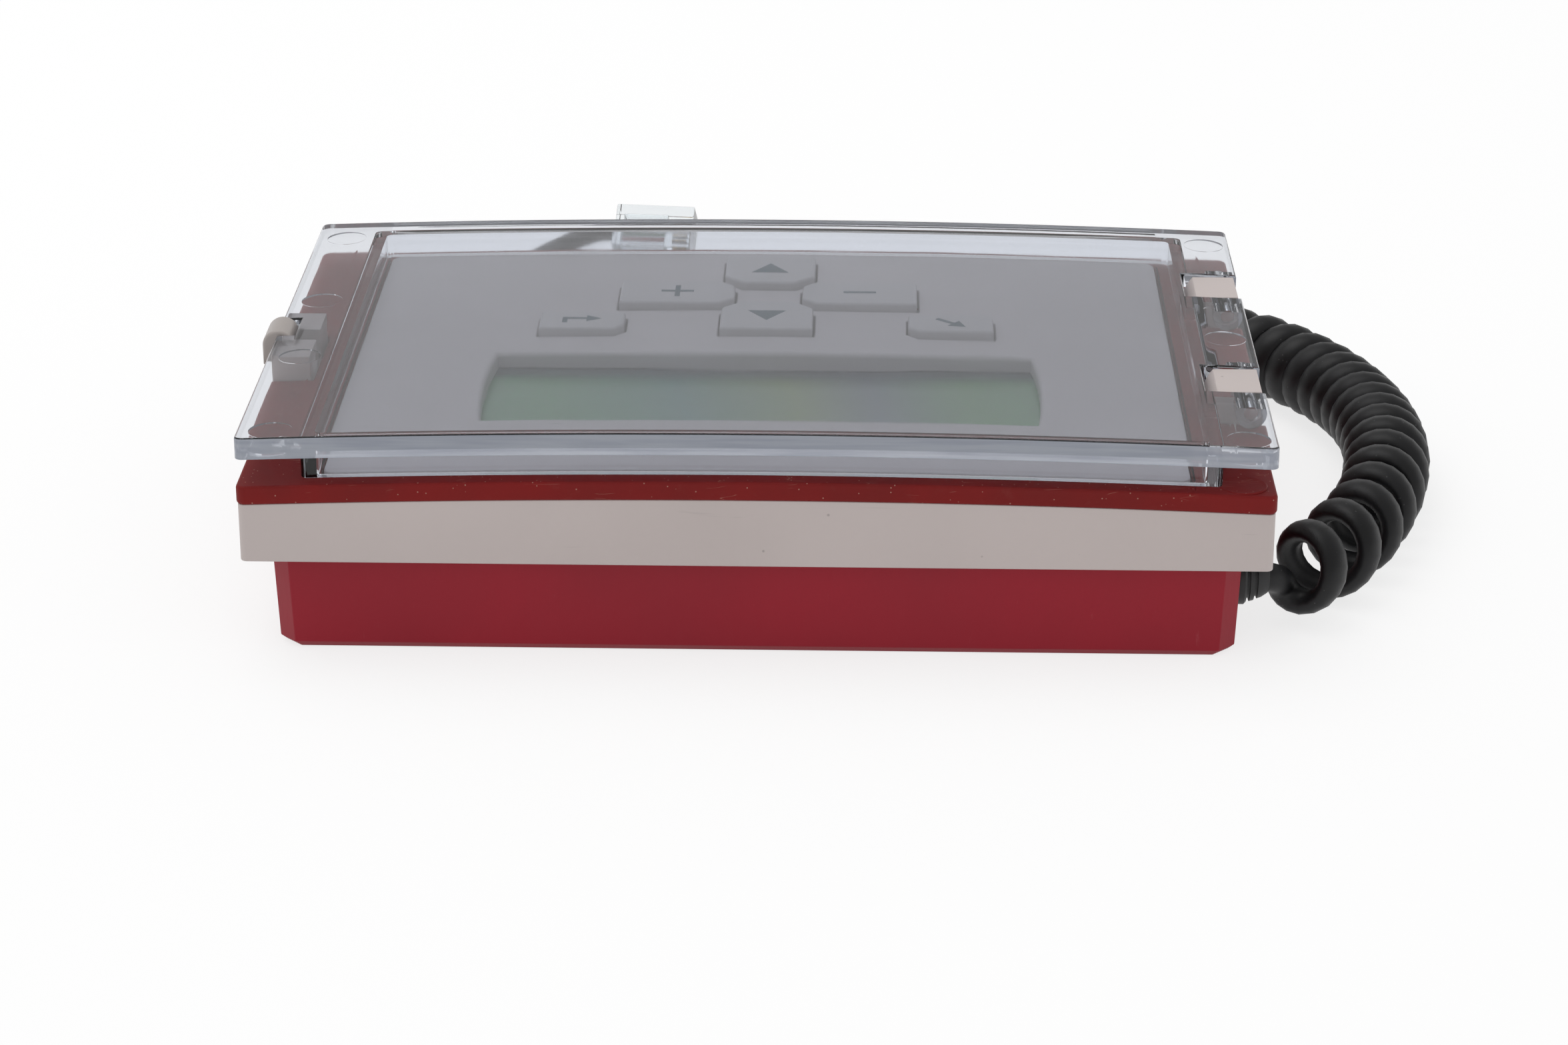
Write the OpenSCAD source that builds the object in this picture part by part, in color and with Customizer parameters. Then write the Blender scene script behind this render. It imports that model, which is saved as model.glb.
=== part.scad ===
// Wall thermostat: a panel-mounted room controller lying on its back.
// A crimson rear housing and a white front frame hold a keypad, a display and a
// circuit board. A clear hinged cover closes on a red seal, and a curly lead leaves
// the side of the housing and ends in a clear modular plug.
// Frame: origin at the middle of the housing's back face, +Z out of the front,
// +X towards the cover's hinges, -Y towards the edge that is up when it is mounted.

/* [Front frame] */
// Width of the front frame
frame_w = 144; // [126:1:176]
// Height of the front frame
frame_d = 96; // [90:1:120]
// Thickness of the frame at its ends
frame_t = 8.5; // [7.5:0.5:12]
// How far the front bulges at the middle of its width
crown = 1.4; // [0:0.1:2]
// Wall of the frame
frame_wall = 2.2; // [1.6:0.1:3]
// Thickness of the flange that bears on the panel
flange_t = 2; // [1.5:0.1:3]
// Radius of the frame's upright corners
frame_corner = 1; // [0.5:0.1:3]

/* [Rear housing] */
// Width of the housing behind the panel
housing_w = 136.2; // [118:0.1:137]
// Height of the housing behind the panel
housing_d = 91.4; // [84:0.1:91.6]
// Depth of the housing behind the panel
housing_h = 14.3; // [13:0.1:24]
// Wall of the housing
housing_wall = 2; // [1.5:0.1:3]
// Slant of the housing's upright corners
housing_corner = 2.4; // [1:0.1:5]
// Draft of the housing's walls, over their whole depth
housing_draft = 0.5; // [0:0.1:1.5]
// Distance between the two wall-box screws
wall_hole_pitch = 60; // [50:1:80]
// Diameter of each wall-box screw's hole
wall_hole_d = 4.2; // [3.2:0.1:6]

/* [Seal and front panel] */
// Thickness of the seal on the frame
seal_t = 2.75; // [2:0.05:4]
// Overhang of the seal past the frame
seal_lip = 0.2; // [0:0.1:0.6]
// Width of the front panel
panel_w = 120.8; // [112:0.2:128]
// Height of the front panel
panel_d = 87.4; // [80:0.2:88.4]
// How far the front panel stands above the seal
panel_proud = 0.4; // [0:0.1:1]
// Width of the seat that the panel rests on
panel_seat = 1.9; // [1.5:0.1:3]

/* [Display] */
// Width of the display window between its bowed ends
window_w = 80.8; // [60:0.2:84]
// Height of the display window
window_d = 27.8; // [20:0.2:29]
// How far each end of the window bows out
window_bow = 0.9; // [0.3:0.1:3]
// Distance from the panel's middle to the window's middle
window_y = -16.2; // [-20:0.1:-15.6]
// Depth from the front panel's crest to the display glass
window_depth = 2.85; // [2:0.05:3]
// Thickness of the display glass
glass_t = 2.1; // [1.4:0.1:2.4]
// How far the glass reaches past the window all round
glass_margin = 2.6; // [2:0.1:3]

/* [Keys] */
// How far the keys stand above the panel
key_proud = 1.25; // [0.6:0.05:1.5]
// Travel of each key
key_travel = 0.8; // [0.3:0.1:0.9]
// Gap round each key in the panel
key_gap = 0.3; // [0.2:0.05:0.5]
// Distance from the panel's middle to the middle of the key cross
cross_y = 22; // [20:0.5:22.5]
// Diameter of each key's stem
stem_d = 3.4; // [2.4:0.1:4]
// Side of each key's switch
switch_w = 6.2; // [5.5:0.1:7]

/* [Cover] */
// Thickness of the cover's plate
cover_t = 3.15; // [2.4:0.05:4]
// Height of the cover's rim below the plate
rim_h = 3.75; // [3.4:0.05:5]
// Wall of the cover's rim
rim_wall = 2; // [1.5:0.1:2.6]
// Distance from the cover's hinge edge to the rim
rim_hinge_inset = 7.4; // [7:0.1:9]
// Distance from the cover's latch edge to the rim
rim_latch_inset = 8.8; // [7:0.1:10]
// Distance from the cover's long edges to the rim
rim_side_inset = 2.1; // [1.8:0.1:2.2]
// Gap between the closed cover's rim and the seal
rim_gap = 0.25; // [0.1:0.05:0.6]

/* [Hinges and latch] */
// Distance of the hinge axis from the cover's edge
axis_inset = 2.5; // [2:0.1:3.5]
// Depth of the hinge axis below the underside of the cover's edge
axis_drop = 0.75; // [0.6:0.05:1.2]
// Distance from the middle of the frame to each hinge
hinge_y = 20.7; // [16:0.1:28]
// Length of each hinge block
hinge_len = 9.6; // [6:0.1:12]
// Diameter of the hinge pins
pin_d = 2; // [1.5:0.1:2.2]
// Diameter of the cover's hinge lugs
lug_d = 4.4; // [3.8:0.1:4.8]
// Length of each hinge lug
lug_len = 4.2; // [3:0.1:6]
// Distance from the middle of the frame to the latch
latch_y = -1.6; // [-6:0.1:6]
// Length of the latch's thumb tab
latch_len = 7; // [5:0.5:9]
// Height of the thumb tab
latch_h = 5.2; // [4:0.1:6]

/* [Circuit board] */
// Width of the circuit board
board_w = 115; // [100:1:118]
// Height of the circuit board
board_d = 80; // [76:1:83]
// Thickness of the circuit board
board_t = 1.6; // [1:0.1:2]
// Height of the board's underside above the back face
board_z = 17; // [16:0.1:17.2]

/* [Lead] */
// Diameter of the lead
cord_d = 4.2; // [3.4:0.1:4.6]
// Outer diameter of the curly stretch
coil_d = 14; // [12:0.1:14.2]
// Distance of the lead's outlet from the middle of the housing
outlet_y = -36.5; // [-37:0.5:-36]
// Height of the lead's outlet above the back face
outlet_z = 9; // [8.5:0.1:9.4]

/* [Hidden] */

eps = 0.01;
round_fn = 48;
arc_fn = 360;

// Levels of the stack at the frame's ends; the front adds the crown to them
flange_z = housing_h;
deck_z = flange_z + frame_t;
seal_z = deck_z + seal_t;
panel_z = seal_z + panel_proud;
rim_z = seal_z + rim_gap;
cover_z = rim_z + rim_h;
cover_top = cover_z + cover_t;
deck_under = deck_z - frame_wall;

half_w = frame_w / 2;
half_d = frame_d / 2;
crown_steps = 24;

// Housing inside the frame
tongue_clear = 0.2;
tongue_wall = 1.4;
tongue_w = housing_w - 2 * housing_wall;
tongue_d = housing_d - 2 * housing_wall;
tongue_top = deck_under - 0.4;

// Panel and its openings
panel_clear = 0.3;
fit_clear = 0.05;
seat_w = panel_w - 2 * panel_seat;
seat_d = panel_d - 2 * panel_seat;
glass_w = window_w + 2 * glass_margin;
glass_d = window_d + 2 * glass_margin;
glass_top = panel_z + crown - window_depth;
pocket_clear = 0.1;
pin_row_pitch = 2.54;
pin_count = 16;

// Keys: middle of each, size, and which corners are cut (x sign, y sign, cut)
board_top = board_z + board_t;
key_flange = 0.9;
key_flange_t = 1.1;
key_flange_drop = 0.2;
switch_h = 2.8;
switch_floor = 0.6;
up_size = [14, 12.3];
side_size = [17.6, 10.2];
small_size = [12.8, 7.4];
cross_reach = 10.65;
side_reach = 14;
small_x = 27.8;
small_drop = 13.2;
key_spots = [[0, cross_y + cross_reach], [0, cross_y - cross_reach],
             [-side_reach, cross_y], [side_reach, cross_y],
             [-small_x, cross_y - small_drop], [small_x, cross_y - small_drop]];
key_sizes = [up_size, up_size, side_size, side_size, small_size, small_size];
big_cut = 3;
mid_cut = 2.2;
tiny_cut = 1.6;
// Cuts at the corners: left-low, right-low, right-high, left-high
key_cuts = [[big_cut, big_cut, 0, 0], [0, 0, big_cut, big_cut],
            [0, mid_cut, mid_cut, 0], [mid_cut, 0, 0, mid_cut],
            [0, tiny_cut, 0, 0], [tiny_cut, 0, 0, 0]];

// Screws
boss_d = 5;
boss_x = seat_w / 2 + boss_d / 2 + 0.8;
boss_outlet_gap = 8.5;
boss_y = -outlet_y - boss_outlet_gap;
case_boss_d = 8;
case_boss_h = 5.8;
case_screw_d = 2.9;
case_screw_len = 12;
case_head_d = 5.4;
case_head_h = 2;
head_seat = 2.6;
standoff_d = 6;
standoff_x = board_w / 2 - 7.5;
standoff_y = board_d / 2 - 6;
board_screw_d = 2.6;
board_screw_len = 7;
board_head_d = 5.4;
board_head_h = 1.8;
screw_clear = 0.05;
header_x = standoff_x + 1.5;
header_y = outlet_y + 16.5;
header_l = 12;

// Cover, hinge and latch
cover_w = frame_w + 0.2;
cover_d = frame_d + 0.2;
axis_x = cover_w / 2 - axis_inset;
axis_z = cover_z - axis_drop;
hinge_gap = 0.5;
block_top = cover_top - 0.1;
block_out = 2;
block_in = 4.3;
block_r = norm([block_in, block_top - axis_z]);
block_clear = 0.26;
block_foot = seal_z + 0.55;
pin_run = 0.05;
pin_grip = 0.02;
lug_end = hinge_len / 2 + hinge_gap + lug_len;
pin_bore_half = lug_end + 0.1;
pin_len = 2 * lug_end - 0.8;
ejector_d = 6.2;
ejector_depth = 0.2;
latch_pin_x = -half_w + 2;
latch_pin_z = seal_z + 0.85;
latch_pin_d = 1.6;
latch_arm = 2;
latch_slot = latch_arm + 2.4;
ear_len = 19;
ear_in = 5.7;
ear_top = cover_z - 0.25;
tab_in = 2.3;
tab_out = 2.3;
tab_top = cover_top + 0.5;
tab_gap = 0.3;

// Lead: the outlet, the curly stretch and the tail to the plug
gland_d = 8.4;
gland_out = 2.7;
gland_in = 1.8;
gland_neck = 7;
wall_x = housing_w / 2;
collar_x = tongue_w / 2 - tongue_wall - fit_clear;
lead_x = wall_x + gland_out;
inner_x = collar_x - gland_in - 2.4;
cord_sides = 10;
coil_sides = 12;
coil_z = coil_d / 2 + 0.2;
lead_route = [[lead_x, outlet_y, outlet_z], [lead_x + 1, outlet_y, outlet_z],
              [73.4, -35.8, 8.2], [75, -34, 7.4]];
coil_route = [[75, -34, coil_z], [79, -29.6, coil_z], [83.5, -22.6, coil_z],
              [88, -14, coil_z], [92, -3, coil_z], [94.5, 8, coil_z],
              [95.6, 19, coil_z], [95, 30, coil_z], [92.4, 41, coil_z],
              [87.6, 51.5, coil_z], [80.5, 61, coil_z], [71, 68, coil_z],
              [60, 72.6, coil_z], [48, 75.2, coil_z], [36, 76.6, coil_z],
              [24, 77.4, coil_z], [12, 77.8, coil_z], [0, 78, coil_z],
              [-12, 78, coil_z], [-24, 77.6, coil_z], [-35, 77, coil_z]];
tail_route = [[-35, 77, 7], [-41, 76.6, 5.4], [-48, 76.4, 3.6], [-55, 78, 3],
              [-59.5, 82.6, 3], [-59, 88.6, 3.8], [-54, 92, 5.4], [-47.6, 90.6, 8],
              [-41.6, 86.8, 11.6], [-36.8, 83.4, 15.6], [-32.8, 81.4, 18.8],
              [-29.6, 80.45, 20.2], [-27.2, 80.2, 20.2]];
plug_at = [-27.2, 80.2, 20.2];
plug_tilt = [45, 0, -6];
plug_size = [13.2, 9.65, 6.6];

// Rise of the front at x; zero at the frame's ends
function rise(x) = crown * (1 - pow(x / half_w, 2));

function crown_x(i) = -half_w - 1 + (frame_w + 2) * i / crown_steps;

// Rectangle with round corners, centred
module round_plan(w, d, r) {
    square([w - 2 * r, d], center = true);
    square([w, d - 2 * r], center = true);
    for (sx = [-1, 1], sy = [-1, 1])
        translate([sx * (w / 2 - r), sy * (d / 2 - r)])
            circle(r, $fn = round_fn);
}

// Rectangle with its four corners cut by c, centred
module cut_plan(w, d, c) {
    polygon([[-w / 2 + c, -d / 2], [w / 2 - c, -d / 2], [w / 2, -d / 2 + c],
             [w / 2, d / 2 - c], [w / 2 - c, d / 2], [-w / 2 + c, d / 2],
             [-w / 2, d / 2 - c], [-w / 2, -d / 2 + c]]);
}

// Layer of the front between two levels, bulged on top and, if asked, underneath
module crowned_layer(low, high, low_bulge) {
    rotate([90, 0, 0])
        translate([0, 0, -half_d - 2])
            linear_extrude(frame_d + 4)
                polygon(concat(
                    [for (i = [0 : crown_steps]) [crown_x(i), high + rise(crown_x(i))]],
                    [for (i = [crown_steps : -1 : 0])
                        [crown_x(i), low + (low_bulge ? rise(crown_x(i)) : 0)]]));
}

// Column of a plan, cut to a layer of the front
module crowned_plate(low, high, low_bulge = true) {
    intersection() {
        crowned_layer(low, high, low_bulge);
        translate([0, 0, low - 1])
            linear_extrude(high - low + crown + 2)
                children();
    }
}

// Cylinder along Y, centred at (x, z) between two ends
module y_rod(x, z, y0, y1, d) {
    translate([x, y0, z])
        rotate([-90, 0, 0])
            cylinder(h = y1 - y0, d = d, $fn = round_fn);
}

// Cylinder along X from x0 to x1
module x_rod(x0, x1, y, z, d) {
    translate([x0, y, z])
        rotate([0, 90, 0])
            cylinder(h = x1 - x0, d = d, $fn = round_fn);
}

// Cylinder between two points
module rod(p, q, d) {
    v = q - p;
    translate(p)
        rotate([0, acos(v.z / norm(v)), atan2(v.y, v.x)])
            cylinder(h = norm(v), d = d, $fn = round_fn);
}

// Tube swept along a route of points, closed by flat ends
function unit(v) = v / norm(v);
function heading(route, i) =
    i == 0 ? unit(route[1] - route[0])
    : i == len(route) - 1 ? unit(route[i] - route[i - 1])
    : unit(unit(route[i + 1] - route[i]) + unit(route[i] - route[i - 1]));
function ring(p, t, r, n) =
    let (side = unit(cross(t, [0, 0, 1])), up = cross(side, t))
    [for (k = [0 : n - 1]) p + r * (cos(360 * k / n) * side + sin(360 * k / n) * up)];
module swept_tube(route, d, n) {
    rings = len(route);
    points = [for (i = [0 : rings - 1]) each ring(route[i], heading(route, i), d / 2, n)];
    sides = [for (i = [0 : rings - 2], k = [0 : n - 1])
        let (a = i * n + k, b = i * n + (k + 1) % n)
        each [[a, b, b + n], [a, b + n, a + n]]];
    caps = [[for (k = [n - 1 : -1 : 0]) k],
            [for (k = [0 : n - 1]) (rings - 1) * n + k]];
    polyhedron(points, concat(sides, caps), convexity = 6);
}

// ---- Housing and frame ----

module housing_shell() {
    difference() {
        hull() {
            translate([0, 0, 1])
                linear_extrude(eps)
                    cut_plan(housing_w - 2 * housing_draft, housing_d - 2 * housing_draft,
                             housing_corner);
            linear_extrude(eps)
                cut_plan(housing_w - 2 * housing_draft - 1.6,
                         housing_d - 2 * housing_draft - 1.6, housing_corner);
            translate([0, 0, housing_h - eps])
                linear_extrude(eps)
                    cut_plan(housing_w, housing_d, housing_corner);
        }
        translate([0, 0, housing_wall])
            linear_extrude(housing_h)
                cut_plan(housing_w - 2 * housing_wall - 2 * housing_draft,
                         housing_d - 2 * housing_wall - 2 * housing_draft, housing_corner);
    }
}

module housing_tongue() {
    translate([0, 0, housing_h - 3])
        linear_extrude(tongue_top - housing_h + 3)
            difference() {
                cut_plan(tongue_w, tongue_d, housing_corner);
                cut_plan(tongue_w - 2 * tongue_wall, tongue_d - 2 * tongue_wall,
                         housing_corner);
            }
}

module at_case_screws() {
    for (sx = [-1, 1], sy = [-1, 1])
        translate([sx * boss_x, sy * boss_y, 0])
            children();
}

module at_standoffs() {
    for (sx = [-1, 1], sy = [-1, 1])
        translate([sx * standoff_x, sy * standoff_y, 0])
            children();
}

module rear_housing() {
    color([0.56, 0.09, 0.14])
        difference() {
            union() {
                housing_shell();
                housing_tongue();
                at_case_screws()
                    translate([0, 0, 1])
                        cylinder(h = case_boss_h - 1, d = case_boss_d, $fn = round_fn);
                at_standoffs()
                    translate([0, 0, 1])
                        cylinder(h = board_z - 1, d = standoff_d, $fn = round_fn);
            }
            at_case_screws() {
                translate([0, 0, -1])
                    cylinder(h = head_seat + 1, d = case_head_d + 0.6, $fn = round_fn);
                cylinder(h = case_boss_h + 1, d = case_screw_d + 0.3, $fn = round_fn);
            }
            at_standoffs()
                translate([0, 0, board_z - board_screw_len])
                    cylinder(h = board_screw_len + 1, d = board_screw_d + 2 * screw_clear,
                             $fn = round_fn);
            for (s = [-1, 1])
                translate([s * wall_hole_pitch / 2, 0, -1])
                    cylinder(h = housing_wall + 2, d = wall_hole_d, $fn = round_fn);
            x_rod(wall_x - housing_wall - 3, wall_x + 2, outlet_y, outlet_z,
                  gland_neck + 2 * fit_clear);
        }
}

// Hinge block of the frame, in profile: a rounded inner end about the hinge axis
module hinge_profile() {
    intersection() {
        translate([axis_x, axis_z])
            circle(block_r, $fn = arc_fn);
        translate([axis_x - block_r, block_foot])
            square([block_r + block_out, block_top - block_foot]);
    }
    translate([axis_x - block_in, deck_z - 1])
        square([block_in + block_out, axis_z - deck_z + 1]);
}

module latch_ears() {
    translate([-half_w, latch_y - ear_len / 2, deck_z - 1])
        cube([ear_in, ear_len, ear_top - deck_z + 1]);
}

module front_frame() {
    color([0.93, 0.91, 0.89])
        difference() {
            union() {
                difference() {
                    crowned_plate(flange_z, deck_z, false)
                        round_plan(frame_w, frame_d, frame_corner);
                    translate([0, 0, flange_z + flange_t])
                        linear_extrude(deck_under - flange_z - flange_t)
                            round_plan(frame_w - 2 * frame_wall, frame_d - 2 * frame_wall,
                                       frame_corner);
                    translate([0, 0, flange_z - 1])
                        linear_extrude(flange_t + 2)
                            cut_plan(tongue_w + 2 * tongue_clear, tongue_d + 2 * tongue_clear,
                                     housing_corner);
                    translate([0, 0, flange_z])
                        linear_extrude(frame_t + crown + 1)
                            round_plan(seat_w, seat_d, frame_corner);
                }
                for (s = [-1, 1])
                    translate([0, s * hinge_y + hinge_len / 2, 0])
                        rotate([90, 0, 0])
                            linear_extrude(hinge_len)
                                hinge_profile();
                latch_ears();
                at_case_screws()
                    translate([0, 0, case_boss_h + 0.1])
                        cylinder(h = deck_z - 1 - case_boss_h, d = boss_d, $fn = round_fn);
            }
            for (s = [-1, 1])
                y_rod(axis_x, axis_z, s * hinge_y - pin_bore_half,
                      s * hinge_y + pin_bore_half, pin_d + 2 * pin_grip);
            translate([-half_w - 1, latch_y - latch_slot / 2, deck_z + rise(half_w) + eps])
                cube([ear_in + 2, latch_slot, 20]);
            y_rod(latch_pin_x, latch_pin_z, latch_y - 6, latch_y + 6,
                  latch_pin_d + 2 * pin_grip);
            at_case_screws()
                translate([0, 0, case_boss_h - 1])
                    cylinder(h = case_screw_len, d = case_screw_d + 2 * screw_clear,
                             $fn = round_fn);
        }
}

// ---- Seal, panel and display ----

module seal_gasket() {
    color([0.50, 0.10, 0.10])
        difference() {
            crowned_plate(deck_z, seal_z)
                difference() {
                    round_plan(frame_w + 2 * seal_lip, frame_d + 2 * seal_lip, 1.4);
                    round_plan(panel_w + 2 * panel_clear, panel_d + 2 * panel_clear, 2);
                }
            for (s = [-1, 1])
                translate([axis_x - block_in - 0.3, s * hinge_y - hinge_len / 2 - 0.3,
                           deck_z - 1])
                    cube([20, hinge_len + 0.6, 10]);
            translate([-half_w - 2, latch_y - ear_len / 2 - 0.3, deck_z - 1])
                cube([ear_in + 2.3, ear_len + 0.6, 10]);
        }
}

// Window outline: straight long edges and bowed ends
module window_plan() {
    bow_r = (pow(window_d / 2, 2) + pow(window_bow, 2)) / (2 * window_bow);
    intersection() {
        square([window_w, window_d], center = true);
        translate([window_w / 2 - bow_r, 0])
            circle(bow_r, $fn = arc_fn);
        translate([bow_r - window_w / 2, 0])
            circle(bow_r, $fn = arc_fn);
    }
}

// Outline of key k, grown by g
module key_plan(k, g) {
    w = key_sizes[k].x / 2 + g;
    d = key_sizes[k].y / 2 + g;
    c = key_cuts[k] + (2 - sqrt(2)) * g * [1, 1, 1, 1];
    translate(key_spots[k])
        polygon([[-w, -d + c[0]], [-w + c[0], -d], [w - c[1], -d], [w, -d + c[1]],
                 [w, d - c[2]], [w - c[2], d], [-w + c[3], d], [-w, d - c[3]]]);
}

module front_panel() {
    color([0.80, 0.79, 0.80])
        difference() {
            crowned_plate(deck_z, panel_z)
                difference() {
                    round_plan(panel_w, panel_d, 1.7);
                    translate([0, window_y])
                        window_plan();
                    for (k = [0 : 5])
                        key_plan(k, key_gap);
                }
            translate([-glass_w / 2 - pocket_clear, window_y - glass_d / 2 - pocket_clear,
                       deck_z - 2])
                cube([glass_w + 2 * pocket_clear, glass_d + 2 * pocket_clear,
                      glass_top + pocket_clear - deck_z + 2]);
        }
}

module display_glass() {
    color([0.37, 0.43, 0.38])
        translate([-glass_w / 2, window_y - glass_d / 2, glass_top - glass_t])
            cube([glass_w, glass_d, glass_t]);
}

module display_backlight() {
    color([0.85, 0.87, 0.84])
        translate([-glass_w / 2 - 0.6, window_y - glass_d / 2 - 0.4, board_top])
            cube([glass_w + 1.2, glass_d + 0.8, glass_top - glass_t - board_top]);
}

// Row of pins from the display down through the board, past the backlight's edge
module display_pins() {
    color([0.78, 0.74, 0.62])
        for (i = [0 : pin_count - 1])
            translate([(i - (pin_count - 1) / 2) * pin_row_pitch,
                       window_y - glass_d / 2 - 1.6, board_z - 1])
                cylinder(h = board_t + 3.4, d = 0.6, $fn = 16);
}

// ---- Keys ----

module key_solid(k) {
    spot = key_spots[k];
    under = deck_z + rise(norm([abs(spot.x) + key_sizes[k].x / 2, 0])) - key_flange_drop;
    top = panel_z + rise(spot.x) + key_proud;
    color([0.84, 0.83, 0.84]) {
        translate([0, 0, under - key_flange_t])
            linear_extrude(top - under + key_flange_t)
                key_plan(k, 0);
        translate([0, 0, under - key_flange_t])
            linear_extrude(key_flange_t)
                key_plan(k, key_flange);
        translate([spot.x, spot.y, board_top + switch_floor + key_travel + 0.2])
            cylinder(h = under - key_flange_t - board_top - switch_floor - key_travel,
                     d = stem_d, $fn = round_fn);
    }
}

module key_up() { key_solid(0); }
module key_down() { key_solid(1); }
module key_plus() { key_solid(2); }
module key_minus() { key_solid(3); }
module key_back() { key_solid(4); }
module key_enter() { key_solid(5); }

module key_switches() {
    color([0.15, 0.15, 0.16])
        for (spot = key_spots)
            translate([spot.x, spot.y, board_top])
                difference() {
                    translate([-switch_w / 2, -switch_w / 2, 0])
                        cube([switch_w, switch_w, switch_h]);
                    translate([0, 0, switch_floor])
                        cylinder(h = switch_h, d = stem_d + 0.2, $fn = round_fn);
                }
}

// ---- Circuit board ----

module circuit_board() {
    color([0.10, 0.36, 0.20])
        difference() {
            translate([-board_w / 2, -board_d / 2, board_z])
                cube([board_w, board_d, board_t]);
            at_standoffs()
                translate([0, 0, board_z - 1])
                    cylinder(h = board_t + 2, d = board_screw_d + 0.6, $fn = round_fn);
            for (i = [0 : pin_count - 1])
                translate([(i - (pin_count - 1) / 2) * pin_row_pitch,
                           window_y - glass_d / 2 - 1.6, board_z - 1])
                    cylinder(h = board_t + 2, d = 0.7, $fn = 16);
        }
}

// Box hanging from the board's underside
module under_board(x, y, w, d, h) {
    translate([x - w / 2, y - d / 2, board_z - h])
        cube([w, d, h]);
}

module processor_chip() {
    color([0.10, 0.10, 0.11])
        under_board(-16, 8, 14, 14, 1.6);
}

module driver_chips() {
    color([0.10, 0.10, 0.11]) {
        under_board(10, 12, 10, 6.2, 1.6);
        under_board(28, 12, 7.6, 5.2, 1.6);
        under_board(10, -8, 10, 6.2, 1.6);
    }
}

module quartz_crystal() {
    color([0.72, 0.72, 0.70])
        under_board(-32, 8, 4.6, 11, 3.4);
}

module capacitors() {
    color([0.12, 0.14, 0.22])
        for (x = [24, 36, 46])
            translate([x, -6, board_z - 8])
                cylinder(h = 8, d = x > 40 ? 5 : 6.3, $fn = round_fn);
}

module temperature_sensor() {
    color([0.16, 0.14, 0.13])
        under_board(-44, -24, 4.6, 3.6, 4.4);
}

module lead_header() {
    color([0.90, 0.88, 0.80])
        under_board(header_x, header_y, 7, header_l, 7.2);
}

module board_screws() {
    color([0.75, 0.76, 0.78])
        at_standoffs() {
            translate([0, 0, board_top])
                cylinder(h = board_head_h, d = board_head_d, $fn = round_fn);
            translate([0, 0, board_top - board_screw_len])
                cylinder(h = board_screw_len + eps, d = board_screw_d, $fn = round_fn);
        }
}

module case_screws() {
    color([0.72, 0.73, 0.75])
        at_case_screws() {
            translate([0, 0, head_seat - case_head_h])
                cylinder(h = case_head_h, d = case_head_d, $fn = round_fn);
            translate([0, 0, head_seat - eps])
                cylinder(h = case_screw_len, d = case_screw_d, $fn = round_fn);
        }
}

// ---- Cover, hinges and latch ----

// Plan of the rim's outer face, shrunk by g
module rim_plan(g) {
    low_x = -cover_w / 2 + rim_latch_inset + g;
    high_x = cover_w / 2 - rim_hinge_inset - g;
    side = cover_d - 2 * rim_side_inset - 2 * g;
    translate([(low_x + high_x) / 2, 0])
        round_plan(high_x - low_x, side, 1);
}

module cover_marks() {
    for (y = [-42.7, -12.5, 12.5, 42.7])
        translate([-cover_w / 2 + 4.5, y * frame_d / 96, 0])
            children();
    for (y = [-42.7, -1, 42.7])
        translate([cover_w / 2 - 3.9, y * frame_d / 96, 0])
            children();
}

module clear_cover() {
    color([0.82, 0.86, 0.90, 0.35])
        difference() {
            union() {
                crowned_plate(cover_z, cover_top)
                    round_plan(cover_w, cover_d, 1.2);
                crowned_plate(rim_z, cover_z + 0.5)
                    difference() {
                        rim_plan(0);
                        rim_plan(rim_wall);
                    }
                for (s = [-1, 1])
                    y_rod(axis_x, axis_z, s * hinge_y - lug_end, s * hinge_y + lug_end, lug_d);
            }
            for (s = [-1, 1]) {
                translate([axis_x - block_r - block_clear,
                           s * hinge_y - hinge_len / 2 - hinge_gap, rim_z - 2])
                    cube([20, hinge_len + 2 * hinge_gap, 20]);
                y_rod(axis_x, axis_z, s * hinge_y - pin_bore_half,
                      s * hinge_y + pin_bore_half, pin_d + 2 * pin_run);
            }
            translate([-cover_w / 2 - 2, latch_y - latch_len / 2 - tab_gap, cover_z - 1])
                cube([2 + tab_in + 0.1 + tab_gap, latch_len + 2 * tab_gap, 20]);
            cover_marks()
                translate([0, 0, cover_z - 1])
                    cylinder(h = 1 + rise(half_w - 4) + ejector_depth, d = ejector_d,
                             $fn = round_fn);
        }
}

module hinge_pins() {
    color([0.80, 0.80, 0.81])
        for (s = [-1, 1])
            y_rod(axis_x, axis_z, s * hinge_y - pin_len / 2, s * hinge_y + pin_len / 2, pin_d);
}

// Thumb tab in profile: a domed head outside the cover's edge
module tab_profile() {
    low = tab_top - latch_h;
    inner = -half_w + tab_in;
    outer = -half_w - tab_out;
    mid = (inner + outer) / 2;
    r = (inner - outer) / 2;
    intersection() {
        translate([mid, tab_top - r])
            circle(r, $fn = round_fn);
        translate([outer, tab_top - r])
            square([inner - outer, r]);
    }
    translate([outer, low])
        square([-half_w - 0.35 - outer, latch_h - r]);
    translate([outer, ear_top + 0.7])
        square([inner - outer, tab_top - r - ear_top - 0.7]);
}

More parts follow.
